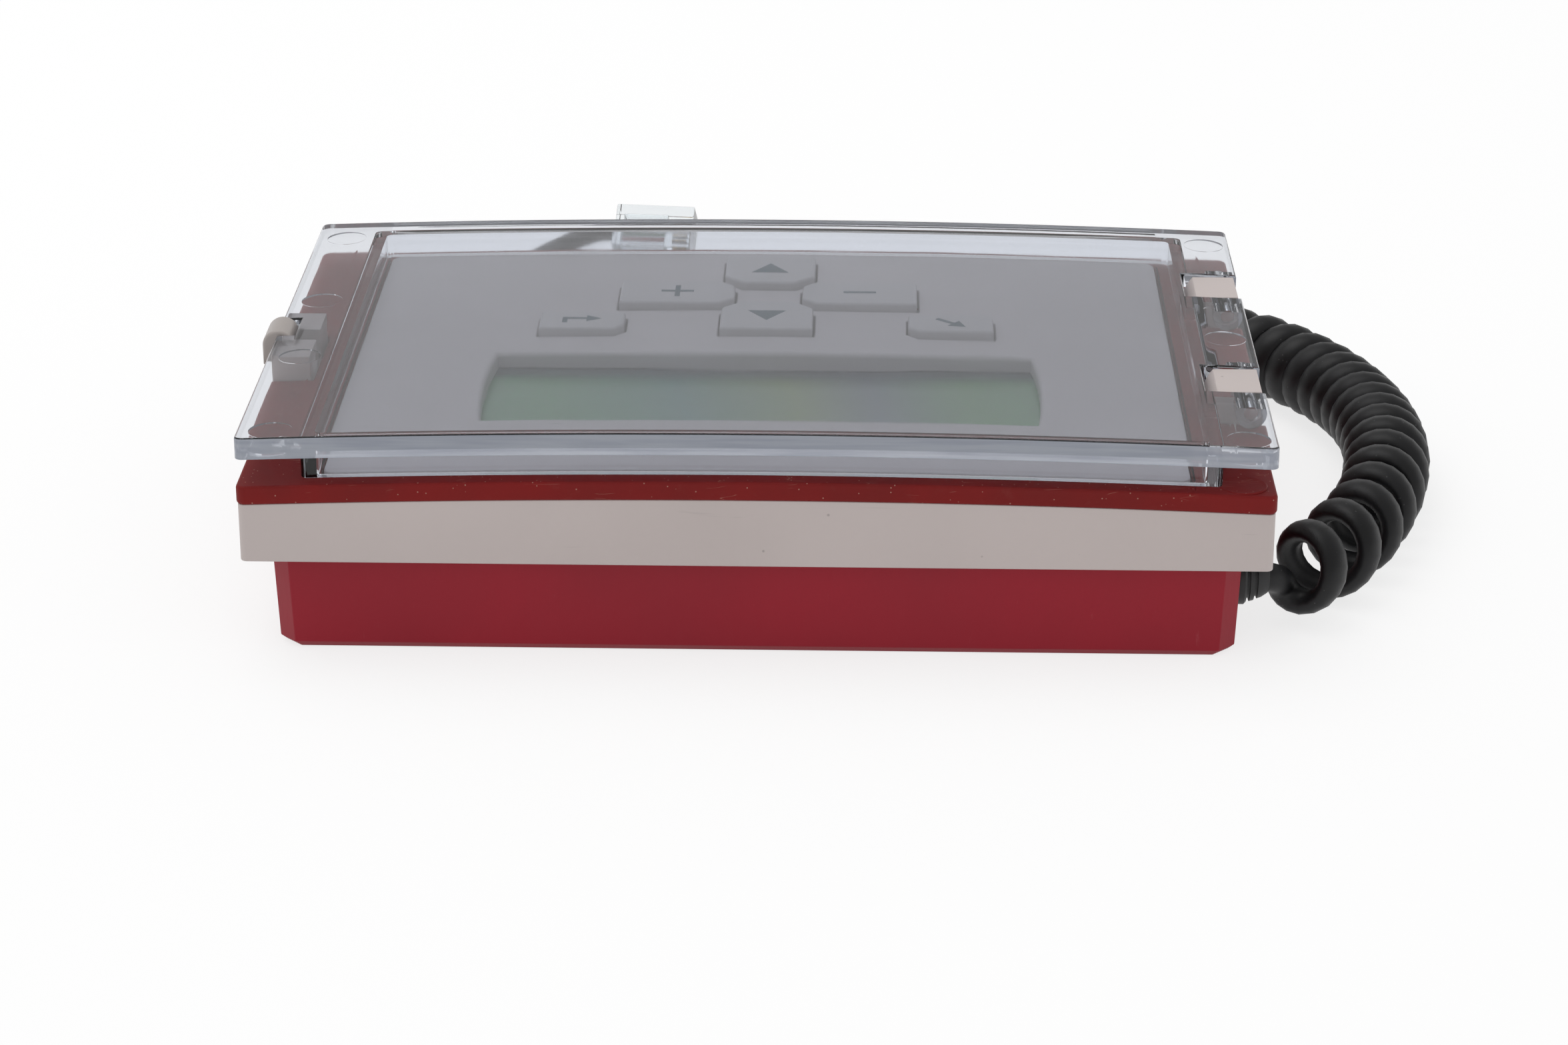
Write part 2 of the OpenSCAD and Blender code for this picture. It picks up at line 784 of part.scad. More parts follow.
module cover_latch() {
    color([0.90, 0.88, 0.85])
        difference() {
            union() {
                translate([0, latch_y + latch_len / 2, 0])
                    rotate([90, 0, 0])
                        linear_extrude(latch_len)
                            tab_profile();
                translate([-half_w - tab_out, latch_y - latch_arm / 2, latch_pin_z - 1.1])
                    cube([half_w + tab_out + latch_pin_x, latch_arm, 2.2]);
                translate([-half_w - tab_out, latch_y - latch_arm / 2, latch_pin_z - 1.1])
                    cube([tab_out - 0.35, latch_arm, 4]);
                y_rod(latch_pin_x, latch_pin_z, latch_y - latch_arm / 2,
                      latch_y + latch_arm / 2, 3.2);
            }
            y_rod(latch_pin_x, latch_pin_z, latch_y - 5, latch_y + 5,
                  latch_pin_d + 2 * pin_run);
        }
}

module latch_pin() {
    color([0.80, 0.80, 0.81])
        y_rod(latch_pin_x, latch_pin_z, latch_y - 5.8, latch_y + 5.8, latch_pin_d);
}

// ---- Lead and plug ----

module cord_gland() {
    color([0.07, 0.07, 0.07])
        difference() {
            union() {
                x_rod(wall_x, lead_x, outlet_y, outlet_z, gland_d);
                x_rod(collar_x - gland_in, wall_x + eps, outlet_y, outlet_z, gland_neck);
                x_rod(collar_x - gland_in, collar_x, outlet_y, outlet_z, gland_d - 0.4);
            }
            x_rod(wall_x - 10, lead_x + 1, outlet_y, outlet_z, cord_d + 2 * fit_clear);
        }
}

module cord_inner() {
    color([0.06, 0.06, 0.06])
        x_rod(inner_x, lead_x, outlet_y, outlet_z, cord_d);
}

// Every other wire lies a little higher
function wire_step(i) = i % 2 == 0 ? -0.7 : 0.7;

module lead_wires() {
    color([0.70, 0.15, 0.12])
        for (i = [0 : 3])
            rod([inner_x - 0.3, outlet_y + 0.9 * (i - 1.5), outlet_z + wire_step(i)],
                [header_x + 1.3 * (i - 1.5), header_y - header_l / 2 - 0.25,
                 board_z - 4 + wire_step(i)], 0.6);
}

module cord_lead() {
    color([0.06, 0.06, 0.06])
        swept_tube(lead_route, cord_d, cord_sides);
}

module cord_coil() {
    color([0.08, 0.08, 0.08])
        swept_tube(coil_route, coil_d, coil_sides);
}

module cord_tail() {
    color([0.06, 0.06, 0.06])
        swept_tube(tail_route, cord_d, cord_sides);
}

// Places a child that is modelled along +X from the plug's cord end
module at_plug() {
    translate(plug_at)
        rotate([0, 0, plug_tilt.z])
            rotate([plug_tilt.x, 0, 0])
                children();
}

module plug_body() {
    color([0.85, 0.87, 0.88, 0.4])
        at_plug()
            difference() {
                union() {
                    translate([0, -plug_size.y / 2, -plug_size.z / 2])
                        cube(plug_size);
                    translate([2.2, -1.6, plug_size.z / 2 - eps])
                        cube([plug_size.x - 2.2, 3.2, 0.9]);
                }
                translate([1.2, -3.6, -1.6])
                    cube([7.6, 7.2, 3.2]);
                for (i = [0 : 3])
                    translate([9.6, (i - 1.5) * 1.25 - 0.2, -plug_size.z / 2 - 1])
                        cube([2.6, 0.4, 3.4]);
            }
}

module plug_contacts() {
    color([0.85, 0.68, 0.30])
        at_plug()
            for (i = [0 : 3])
                translate([9.7, (i - 1.5) * 1.25 - 0.16, -plug_size.z / 2 - 0.2])
                    cube([2.4, 0.32, 2.5]);
}

module plug_wires() {
    color([0.70, 0.15, 0.12])
        at_plug()
            for (i = [0 : 3])
                x_rod(1.3, 8.7, (i - 1.5) * 1.25, 0, 1);
}

rear_housing();
front_frame();
seal_gasket();
front_panel();
display_glass();
display_backlight();
display_pins();
key_up();
key_down();
key_plus();
key_minus();
key_back();
key_enter();
key_switches();
circuit_board();
processor_chip();
driver_chips();
quartz_crystal();
capacitors();
temperature_sensor();
lead_header();
board_screws();
case_screws();
clear_cover();
hinge_pins();
cover_latch();
latch_pin();
cord_gland();
cord_inner();
lead_wires();
cord_lead();
cord_coil();
cord_tail();
plug_body();
plug_contacts();
plug_wires();
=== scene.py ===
import math

import bmesh
import bpy
from bpy.props import FloatProperty, FloatVectorProperty, PointerProperty
from mathutils import Matrix, Vector


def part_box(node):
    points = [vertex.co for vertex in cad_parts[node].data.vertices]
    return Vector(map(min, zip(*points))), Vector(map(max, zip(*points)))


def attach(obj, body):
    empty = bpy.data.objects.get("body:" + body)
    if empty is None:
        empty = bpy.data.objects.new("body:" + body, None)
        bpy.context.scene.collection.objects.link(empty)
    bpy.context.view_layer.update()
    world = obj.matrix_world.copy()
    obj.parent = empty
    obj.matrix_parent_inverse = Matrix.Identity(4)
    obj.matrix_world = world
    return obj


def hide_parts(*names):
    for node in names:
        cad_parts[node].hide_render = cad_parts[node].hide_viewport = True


bl_info = {
    "name": "Wall Thermostat",
    "version": (1, 0, 0),
    "blender": (4, 5, 0),
    "location": "View3D > Sidebar > Thermostat",
    "description": "Builds the looks of a wall thermostat around its packed CAD frame",
    "category": "Object",
}

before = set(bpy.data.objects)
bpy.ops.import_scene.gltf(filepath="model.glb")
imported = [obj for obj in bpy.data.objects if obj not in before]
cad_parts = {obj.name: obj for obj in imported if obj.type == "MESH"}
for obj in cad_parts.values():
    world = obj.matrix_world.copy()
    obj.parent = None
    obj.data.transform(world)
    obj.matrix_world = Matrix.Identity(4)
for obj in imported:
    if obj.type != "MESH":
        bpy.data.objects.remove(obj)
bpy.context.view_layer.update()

MM = 0.001

# Middle line of the lead, from the housing's outlet to the plug
LEAD_ROUTE = [(0.0708, -0.0365, 0.009), (0.0718, -0.0365, 0.009),
              (0.0734, -0.0358, 0.0082), (0.075, -0.034, 0.0074)]
COIL_LEVEL = 0.0072
COIL_ROUTE = [(0.075, -0.034), (0.079, -0.0296), (0.0835, -0.0226), (0.088, -0.014),
              (0.092, -0.003), (0.0945, 0.008), (0.0956, 0.019), (0.095, 0.030),
              (0.0924, 0.041), (0.0876, 0.0515), (0.0805, 0.061), (0.071, 0.068),
              (0.060, 0.0726), (0.048, 0.0752), (0.036, 0.0766), (0.024, 0.0774),
              (0.012, 0.0778), (0.0, 0.078), (-0.012, 0.078), (-0.024, 0.0776),
              (-0.035, 0.077)]
TAIL_ROUTE = [(-0.035, 0.077, 0.007), (-0.041, 0.0766, 0.0054), (-0.048, 0.0764, 0.0036),
              (-0.055, 0.078, 0.003), (-0.0595, 0.0826, 0.003), (-0.059, 0.0886, 0.0038),
              (-0.054, 0.092, 0.0054), (-0.0476, 0.0906, 0.008), (-0.0416, 0.0868, 0.0116),
              (-0.0368, 0.0834, 0.0156), (-0.0328, 0.0814, 0.0188),
              (-0.0296, 0.08045, 0.0202), (-0.0272, 0.0802, 0.0202)]
PLUG_AT = Vector((-0.0272, 0.0802, 0.0202))
PLUG_TURN = Matrix.Rotation(math.radians(-6), 4, "Z") @ Matrix.Rotation(math.radians(45), 4, "X")
PLUG_PLACE = Matrix.Translation(PLUG_AT) @ PLUG_TURN
# Turns a round solid from upright to along X
LYING = Matrix.Rotation(math.pi / 2, 4, "Y")

# The curl: where its first turn starts, how it opens out there, and the tube's resolution
CURL_START = math.radians(200)
OPEN_PITCH, OPEN_REACH = 4.6 * MM, 34 * MM
TIGHT_PITCH, TIGHT_AT, TIGHT_REACH = 0.7 * MM, 72 * MM, 20 * MM
TURN_POINTS = 20
TUBE_SIDES = 14
SMOOTH_PASSES = 3
FIXED_POINTS = 4

# Strain relief, out from the housing wall and in from it: (distance, radius) in millimetres
RELIEF_WALL = 2.7 * MM
RELIEF_OUTER = [(0.0, 4.2), (0.9, 4.2), (1.2, 3.9), (1.2, 3.3), (1.7, 3.3), (1.7, 3.75),
                (2.3, 3.6), (2.3, 3.05), (2.8, 3.0), (2.8, 3.35), (3.4, 3.15),
                (4.3, 2.55), (4.5, 2.3)]
RELIEF_NUT, RELIEF_NUT_T, RELIEF_NECK = 4.0 * MM, 1.8 * MM, 3.5 * MM

# Wires in the plug: (distance, radius) in millimetres, spacing and colours
WIRE_RINGS = [(1.3, 0.42), (1.34, 0.5), (8.66, 0.5), (8.7, 0.42)]
WIRE_PITCH = 1.25 * MM
WIRES = {"red": (176, 28, 30), "green": (34, 118, 58), "yellow": (206, 172, 44),
         "black": (26, 26, 28)}

# Moulding pad on the seal: its middle and its (height, radius) rings in millimetres
PAD_AT = (0.0676, -0.0444)
PAD_BELOW_TOP = 1.4 * MM
PAD_RINGS = [(-1.2, 3.4), (0.10, 3.4), (0.22, 3.25), (0.22, 2.9), (0.12, 2.6)]

# Display: half its length, and the pitch of its cells
DISPLAY_HALF = 0.043
CELL_PITCH = 0.42 * MM

# The clear cover's cut edges are pale beyond these distances from the middle
COVER_EDGE_AT = (71.2 * MM, 47.2 * MM)

# Keys: depth from the top down to the hidden flange, the flange's overhang and thickness
KEY_DEPTH = 5.0 * MM
KEY_FLANGE = 0.9 * MM
KEY_FLANGE_T = 1.1 * MM
KEY_STEM_R = 1.7 * MM
KEY_CORNER = 0.5 * MM

# Print on the keys: half length and width of the strokes and size of the heads, in millimetres
SIGN_HALF, SIGN_WIDE, LINE_WIDE = 2.5, 0.8, 0.75
POINTER, POINTER_BROAD = 2.9, 1.15
INK_DEPTH = 0.03 * MM

# Keys: body, middle, size and the corners that are cut (x sign, y sign, cut)
KEYS = {
    "key_up": ((0, 32.65), (14, 12.3), [(-1, -1, 3), (1, -1, 3)]),
    "key_down": ((0, 11.35), (14, 12.3), [(1, 1, 3), (-1, 1, 3)]),
    "key_plus": ((-14, 22), (17.6, 10.2), [(1, -1, 2.2), (1, 1, 2.2)]),
    "key_minus": ((14, 22), (17.6, 10.2), [(-1, -1, 2.2), (-1, 1, 2.2)]),
    "key_back": ((-27.8, 8.8), (12.8, 7.4), [(1, -1, 1.6)]),
    "key_enter": ((27.8, 8.8), (12.8, 7.4), [(-1, -1, 1.6)]),
}

# Camera: place, turn in degrees, lens and sensor in millimetres
CAMERA_AT = (0.01562, -0.5574, 0.22926)
CAMERA_TURN = (67.770, -0.0707, 1.336)
CAMERA_LENS, CAMERA_SENSOR = 91.17, 36.0

# Light of the studio's walls and ceiling, and how far the floor glows where it is looked at
WORLD_LEVEL = 0.72
CEILING_LEVEL = 0.5
FLOOR_SIZE = 6
FLOOR_GLOW, GLOW_LEVEL = 0.72, 1.06
# Lamps: name, place, aim, size and power
LAMPS = [("overhead", (-0.35, 0.25, 1.1), (0, 0, 0.02), 0.9, 4.0)]


def srgb(red, green, blue):
    """Linear colour of three 0-255 screen values."""
    return tuple(
        c / 12.92 if c <= 0.04045 else ((c + 0.055) / 1.055) ** 2.4
        for c in (red / 255, green / 255, blue / 255)
    )


# ---- What a user would change ----

def length(name, description, default):
    return FloatProperty(name=name, description=description, default=default,
                         min=0.0, subtype="DISTANCE", unit="LENGTH", precision=5)


def colour(name, description, red, green, blue):
    return FloatVectorProperty(name=name, description=description, size=3, min=0.0, max=1.0,
                               default=srgb(red, green, blue), subtype="COLOR")


class ThermostatSizes(bpy.types.PropertyGroup):
    """Sizes of the shaped pieces, in metres."""
    lead_diameter: length("Lead", "Diameter of the lead where it is round", 4.2 * MM)
    lead_width: length("Flat width", "Width of the lead where it is flattened", 5.2 * MM)
    lead_depth: length("Flat depth", "Thickness of the lead where it is flattened", 3.2 * MM)
    curl_diameter: length("Curl", "Outer diameter of the curly stretch", 14 * MM)
    curl_pitch: length("Curl pitch", "Distance between two closed turns", 5.6 * MM)
    key_edge: length("Key edge", "Radius of a key's upper edge", 0.7 * MM)
    cover_edge: length("Cover edge", "Radius of the clear cover's edges", 0.32 * MM)
    seal_edge: length("Seal edge", "Radius of the seal's edges", 0.42 * MM)
    frame_edge: length("Frame edge", "Radius of the white frame's edges", 0.25 * MM)
    panel_edge: length("Panel edge", "Radius of the front panel's edges", 0.4 * MM)


class ThermostatColours(bpy.types.PropertyGroup):
    """Colours of the finishes."""
    crimson: colour("Housing", "Crimson plastic of the rear housing", 150, 22, 40)
    white: colour("Frame", "White plastic of the front frame", 197, 186, 183)
    seal: colour("Seal", "Red rubber of the seal", 122, 18, 17)
    panel: colour("Panel", "Film of the front panel", 214, 208, 210)
    keys: colour("Keys", "Plastic of the keys", 208, 204, 206)
    ink: colour("Print", "Print on the keys", 52, 84, 98)
    display: colour("Display", "Liquid crystal at rest", 96, 142, 106)
    cover: colour("Cover", "Tint of the clear cover", 240, 243, 249)
    latch: colour("Latch", "Plastic of the latch", 168, 160, 156)
    lead: colour("Lead", "Sheath of the lead", 12, 12, 14)


def sizes():
    return bpy.context.scene.thermostat_sizes


def colours():
    return bpy.context.scene.thermostat_colours


# ---- Finishes ----

class Signal:
    """A socket that is added, scaled and compared as a number is."""

    def __init__(self, finish, socket):
        self.finish, self.socket = finish, socket

    def _math(self, operation, *values):
        inputs = dict(enumerate(values))
        return self.finish.node("ShaderNodeMath", {"operation": operation}, inputs)

    def __add__(self, other):
        return self._math("ADD", self, other)

    __radd__ = __add__

    def __sub__(self, other):
        return self._math("SUBTRACT", self, other)

    def __rsub__(self, other):
        return self._math("SUBTRACT", other, self)

    def __mul__(self, other):
        return self._math("MULTIPLY", self, other)

    __rmul__ = __mul__

    def __truediv__(self, other):
        return self._math("DIVIDE", self, other)

    def __rtruediv__(self, other):
        return self._math("DIVIDE", other, self)

    def __gt__(self, other):
        return self._math("GREATER_THAN", self, other)

    def __lt__(self, other):
        return self._math("LESS_THAN", self, other)

    def distance_to(self, other):
        return self._math("ABSOLUTE", self - other)

    def sine(self):
        return self._math("SINE", self)

    def between(self, low, high):
        """0 below low, 1 above high and a smooth climb between them."""
        return self.finish.node("ShaderNodeMapRange", {"interpolation_type": "SMOOTHSTEP"},
                                {"Value": self, "From Min": low, "From Max": high})


class Finish:
    """One material and the nodes that shade it."""

    def __init__(self, name):
        self.material = bpy.data.materials.new(name)
        self.material.use_nodes = True
        self.tree = self.material.node_tree
        self.tree.nodes.clear()
        self.place = self.node("ShaderNodeTexCoord", output="Object")

    @classmethod
    def of_tree(cls, tree):
        """The same tools on another node tree, such as the world's."""
        made = cls.__new__(cls)
        made.tree = tree
        tree.nodes.clear()
        made.place = made.node("ShaderNodeTexCoord", output="Generated")
        return made

    def node(self, kind, settings=None, inputs=None, output=0):
        """Adds a node of a type, sets it up, fills its sockets and gives one of its outputs."""
        made = self.tree.nodes.new(kind)
        for key, value in (settings or {}).items():
            if key == "stops":
                ramp = made.color_ramp.elements
                while len(ramp) < len(value):
                    ramp.new(0.5)
                for element, (position, rgb) in zip(ramp, value):
                    element.position, element.color = position, (*rgb, 1.0)
            else:
                setattr(made, key, value)
        for key, value in (inputs or {}).items():
            socket = made.inputs[key]
            if isinstance(value, Signal):
                self.tree.links.new(value.socket, socket)
            elif hasattr(value, "__len__") and socket.type == "RGBA":
                socket.default_value = (*value[:3], 1.0)
            else:
                socket.default_value = value
        return Signal(self, made.outputs[output]) if len(made.outputs) else None

    def outputs(self, first, *names):
        """More outputs of the node that a signal comes from."""
        return [Signal(self, first.socket.node.outputs[name]) for name in names]

    def axes(self):
        """The three Object coordinates, in metres."""
        x = self.node("ShaderNodeSeparateXYZ", None, {"Vector": self.place}, output="X")
        return [x, *self.outputs(x, "Y", "Z")]

    def rays(self):
        """1 on rays from the camera, glossy ones and those through clear pieces, else 0."""
        camera = self.node("ShaderNodeLightPath", output="Is Camera Ray")
        return [camera, *self.outputs(camera, "Is Glossy Ray", "Is Transmission Ray")]

    def grain(self, size, detail=2.0, roughness=0.5, stretch=None):
        """Noise whose features are about size metres wide."""
        place = self.place
        if stretch:
            place = self.node("ShaderNodeMapping", None, {"Vector": place, "Scale": stretch})
        return self.node("ShaderNodeTexNoise", None,
                         {"Vector": place, "Scale": 1.0 / size, "Detail": detail,
                          "Roughness": roughness})

    def specks(self, size, share):
        """Sparse round dots, at most size metres wide, on a share of their cells."""
        distance = self.node("ShaderNodeTexVoronoi", None,
                             {"Vector": self.place, "Scale": 0.4 / size}, output="Distance")
        cell, = self.outputs(distance, "Color")
        split = self.node("ShaderNodeSeparateColor", None, {"Color": cell})
        return (1 - distance.between(0.10, 0.24)) * (split < share)

    def mix(self, factor, first, second):
        """Colour mix of two colours."""
        return self.node("ShaderNodeMix", {"data_type": "RGBA"},
                         {0: factor, 6: first, 7: second}, output=2)

    def ramp(self, factor, stops):
        return self.node("ShaderNodeValToRGB", {"stops": stops}, {"Fac": factor})

    def bump(self, height, depth):
        return self.node("ShaderNodeBump", None,
                         {"Height": height, "Distance": depth, "Strength": 1.0},
                         output="Normal")

    def shade(self, **sockets):
        """Principled surface. Socket names have _ for a space."""
        inputs = {key.replace("_", " "): value for key, value in sockets.items()}
        return self.surface(self.node("ShaderNodeBsdfPrincipled", None, inputs))

    def surface(self, shader):
        """Ends the material with a shader."""
        self.node("ShaderNodeOutputMaterial", None, {"Surface": shader})
        return self.material


def shaded(base, factor):
    return tuple(c * factor for c in base)


def moulded(name, base, rough, wear=0.06):
    """Moulded plastic: fine spark texture and a slow shade variation."""
    finish = Finish(name)
    slow = finish.grain(22 * MM, 3)
    fine = finish.grain(0.25 * MM, 2)
    tone = finish.mix(slow.between(0.32, 0.7), shaded(base, 1 - wear), shaded(base, 1 + wear))
    tone = finish.mix(fine.between(0.3, 0.75) * 0.35, tone, shaded(base, 1 - wear * 1.4))
    roughness = rough + (slow - 0.5) * 0.14 + (fine - 0.5) * 0.1
    return finish.shade(Base_Color=tone, Roughness=roughness,
                        Normal=finish.bump(fine, 0.006 * MM))


def crimson_plastic():
    """Crimson housing: fine vertical draw marks and pale scuffs."""
    base = colours().crimson
    finish = Finish("crimson_plastic")
    slow = finish.grain(30 * MM, 3)
    fine = finish.grain(0.3 * MM, 3)
    draw = finish.grain(0.35 * MM, 2, stretch=(1.0, 1.0, 0.06))
    tone = finish.mix(slow.between(0.3, 0.7), shaded(base, 0.93), shaded(base, 1.07))
    tone = finish.mix(fine.between(0.35, 0.8) * 0.3, tone, shaded(base, 0.86))
    scuff = finish.grain(1.2 * MM, 4, 0.7, stretch=(1.0, 1.0, 0.25)).between(0.66, 0.8)
    tone = finish.mix(scuff * 0.16, tone, srgb(190, 110, 116))
    roughness = 0.46 + (slow - 0.5) * 0.16 + (draw - 0.5) * 0.12
    return finish.shade(Base_Color=tone, Roughness=roughness, Specular_IOR_Level=0.3,
                        Normal=finish.bump(fine * 0.6 + draw * 0.4, 0.008 * MM))


def white_plastic():
    """White frame: satin, a little yellowed, with faint grey smudges."""
    base = colours().white
    finish = Finish("white_plastic")
    slow = finish.grain(34 * MM, 2)
    fine = finish.grain(0.22 * MM, 2)
    tone = finish.mix(slow.between(0.3, 0.7), shaded(base, 0.965), shaded(base, 1.03))
    smudge = finish.grain(11 * MM, 5, 0.66, stretch=(1.0, 1.0, 2.2)).between(0.66, 0.86)
    tone = finish.mix(smudge * 0.22, tone, shaded(base, 0.62))
    line = finish.grain(5 * MM, 3, 0.5, stretch=(0.35, 1.0, 5.0)).between(0.70, 0.76)
    tone = finish.mix(line * 0.16, tone, shaded(base, 0.55))
    dots = finish.specks(0.45 * MM, 0.010)
    tone = finish.mix(dots * 0.5, tone, shaded(base, 0.4))
    roughness = 0.42 + (slow - 0.5) * 0.12 + (fine - 0.5) * 0.08
    return finish.shade(Base_Color=tone, Roughness=roughness,
                        Normal=finish.bump(fine, 0.005 * MM))


def seal_rubber():
    """Red rubber: matt, with lint, short fibres and a dusty bloom."""
    base = colours().seal
    finish = Finish("seal_rubber")
    slow = finish.grain(14 * MM, 4)
    fine = finish.grain(0.28 * MM, 3, 0.6)
    tone = finish.mix(slow.between(0.3, 0.72), shaded(base, 0.86), shaded(base, 1.08))
    bloom = finish.grain(3 * MM, 5, 0.7).between(0.55, 0.85)
    tone = finish.mix(bloom * 0.20, tone, srgb(128, 74, 66))
    fibre = finish.grain(1.6 * MM, 1, 0.4, stretch=(0.22, 1.4, 1.4)).distance_to(0.5)
    fibre = (1 - fibre.between(0.0, 0.010)) * finish.grain(6 * MM, 2).between(0.56, 0.62)
    tone = finish.mix(fibre * 0.38, tone, srgb(196, 150, 132))
    dust = finish.specks(0.22 * MM, 0.12)
    tone = finish.mix(dust * 0.5, tone, srgb(206, 168, 150))
    roughness = 0.62 + (slow - 0.5) * 0.2
    return finish.shade(Base_Color=tone, Roughness=roughness, Specular_IOR_Level=0.25,
                        Normal=finish.bump(fine + dust * 0.6, 0.02 * MM))


def panel_film():
    """Front film: pale grey and faintly textured."""
    base = colours().panel
    finish = Finish("panel_film")
    slow = finish.grain(40 * MM, 2)
    fine = finish.grain(0.16 * MM, 2)
    tone = finish.mix(slow.between(0.3, 0.7), shaded(base, 0.975), shaded(base, 1.02))
    tone = finish.mix(fine.between(0.3, 0.8) * 0.3, tone, shaded(base, 0.93))
    dots = finish.specks(0.3 * MM, 0.010)
    tone = finish.mix(dots * 0.4, tone, shaded(base, 0.6))
    roughness = 0.48 + (fine - 0.5) * 0.18
    return finish.shade(Base_Color=tone, Roughness=roughness,
                        Normal=finish.bump(fine, 0.004 * MM))


def display_crystal():
    """Liquid crystal cell: green, with a slow colour drift, and a painted blue-grey shadow along
    its far edge.
    """
    base = colours().display
    finish = Finish("display_crystal")
    x, y, _ = finish.axes()
    drift = finish.grain(26 * MM, 1, 0.4, stretch=(0.8, 0.6, 1.0))
    along = (x + DISPLAY_HALF) / (2 * DISPLAY_HALF)
    hue = finish.ramp(along * 0.8 + drift * 0.2, [
        (0.00, srgb(64, 142, 96)), (0.22, srgb(92, 160, 104)), (0.38, srgb(78, 134, 136)),
        (0.52, srgb(142, 156, 84)), (0.66, srgb(112, 106, 140)), (0.80, srgb(96, 156, 84)),
        (1.00, srgb(64, 146, 116))])
    tone = finish.mix(0.6, base, hue)
    # Painted shadow: the far edge of the cell is darkened to blue-grey, for the shade that falls
    # there.
    far = y.between(-0.0085, -0.0028)
    tone = finish.mix(far * 0.88, tone, srgb(50, 62, 84))
    wave = 2 * math.pi / CELL_PITCH
    lattice = (((y * wave).sine() > 0.9) + ((x * wave).sine() > 0.9)).between(0.0, 1.0)
    tone = finish.mix(lattice * 0.10, tone, shaded(base, 0.7))
    edge = x.distance_to(0.0).between(0.0416, 0.0426)
    tone = finish.mix(edge, tone, srgb(120, 124, 120))
    return finish.shade(Base_Color=tone, Roughness=0.22 + drift * 0.06, Coat_Weight=0.5,
                        Coat_Roughness=0.08,
                        Normal=finish.bump(finish.grain(3 * MM, 1), 0.003 * MM))


def clear_plastic(name, tint, rough=0.03, haze=0.05, rim_at=None):
    """Clear moulding: a little hazed, with hairline scratches."""
    finish = Finish(name)
    slow = finish.grain(18 * MM, 3)
    hair = finish.grain(2.2 * MM, 2, 0.5, stretch=(0.12, 1.6, 1.0)).distance_to(0.5)
    hair = (1 - hair.between(0.0, 0.004)) * finish.grain(12 * MM, 2).between(0.5, 0.64)
    roughness = rough + slow.between(0.4, 0.8) * haze + hair * 0.16
    tone = finish.mix(slow.between(0.3, 0.7), shaded(tint, 0.985), tint)
    ripple = finish.bump(finish.grain(16 * MM, 1, 0.3), 0.05 * MM)
    clear = finish.node("ShaderNodeBsdfPrincipled", None,
                        {"Base Color": tone, "Roughness": roughness, "IOR": 1.49,
                         "Transmission Weight": 1.0, "Normal": ripple})
    if not rim_at:
        return finish.surface(clear)
    # The cut edges scatter light: they look pale where the flat faces are clear
    x, y, _ = finish.axes()
    facing = finish.node("ShaderNodeTexCoord", output="Normal")
    split = finish.node("ShaderNodeSeparateXYZ", None, {"Vector": facing}, output="Z")
    upright_face = 1 - split.distance_to(0.0).between(0.35, 0.75)
    edge = (x.distance_to(0.0) > rim_at[0]) + (y.distance_to(0.0) > rim_at[1])
    streak = finish.grain(2.5 * MM, 2, 0.5, stretch=(0.15, 0.15, 2.5))
    pale = finish.node("ShaderNodeBsdfPrincipled", None,
                       {"Base Color": finish.mix(streak.between(0.3, 0.7), srgb(196, 202, 214),
                                                 srgb(168, 174, 188)),
                        "Roughness": 0.12, "IOR": 1.49, "Normal": ripple})
    share = upright_face * edge.between(0.0, 1.0) * (0.5 + 0.3 * streak)
    return finish.surface(finish.node("ShaderNodeMixShader", None,
                                      {0: share, 1: clear, 2: pale}))


def cord_sheath():
    """Black sheath of the lead: satin, a little dusty."""
    base = colours().lead
    finish = Finish("cord_sheath")
    slow = finish.grain(9 * MM, 3)
    fine = finish.grain(0.3 * MM, 3, 0.6)
    tone = finish.mix(slow.between(0.35, 0.75), base, shaded(base, 1.7))
    dust = finish.specks(0.25 * MM, 0.05)
    tone = finish.mix(dust * 0.35, tone, srgb(96, 96, 98))
    roughness = 0.46 + (slow - 0.5) * 0.2 + (fine - 0.5) * 0.12
    return finish.shade(Base_Color=tone, Roughness=roughness, Specular_IOR_Level=0.35,
                        Normal=finish.bump(fine, 0.010 * MM))


def metal(name, base, rough):
    """Plain metal with fine drawn lines and slight tarnish."""
    finish = Finish(name)
    lines = finish.grain(0.3 * MM, 3, 0.6, stretch=(1.0, 1.0, 0.15))
    slow = finish.grain(4 * MM, 3)
    tone = finish.mix(slow.between(0.4, 0.75), base, shaded(base, 0.8))
    roughness = rough + (lines - 0.5) * 0.2 + (slow - 0.5) * 0.1
    return finish.shade(Base_Color=tone, Roughness=roughness, Metallic=1.0,
                        Normal=finish.bump(lines, 0.004 * MM))


def board_laminate():
    """Green laminate with copper tracks under the solder mask, and white legend blocks."""
    base = srgb(24, 92, 52)
    finish = Finish("board_laminate")
    weave = finish.grain(0.5 * MM, 2)
    tracks = finish.node("ShaderNodeTexBrick",
                         {"offset": 0.37, "offset_frequency": 3, "squash": 0.6},
                         {"Vector": finish.place, "Scale": 90.0, "Mortar Size": 0.035,
                          "Mortar Smooth": 0.2}, output="Fac")
    region = finish.grain(18 * MM, 1).between(0.42, 0.46)
    tone = finish.mix(weave * 0.25, base, shaded(base, 0.75))
    tone = finish.mix(tracks * region * 0.7, tone, srgb(66, 138, 82))
    pads = finish.specks(1.1 * MM, 0.10)
    tone = finish.mix(pads, tone, srgb(196, 192, 180))
    return finish.shade(Base_Color=tone, Roughness=0.34 + weave * 0.12 - pads * 0.08,
                        Metallic=pads * 0.8,
                        Normal=finish.bump(weave * 0.4 + tracks * region, 0.02 * MM))


# ---- Shaping ----

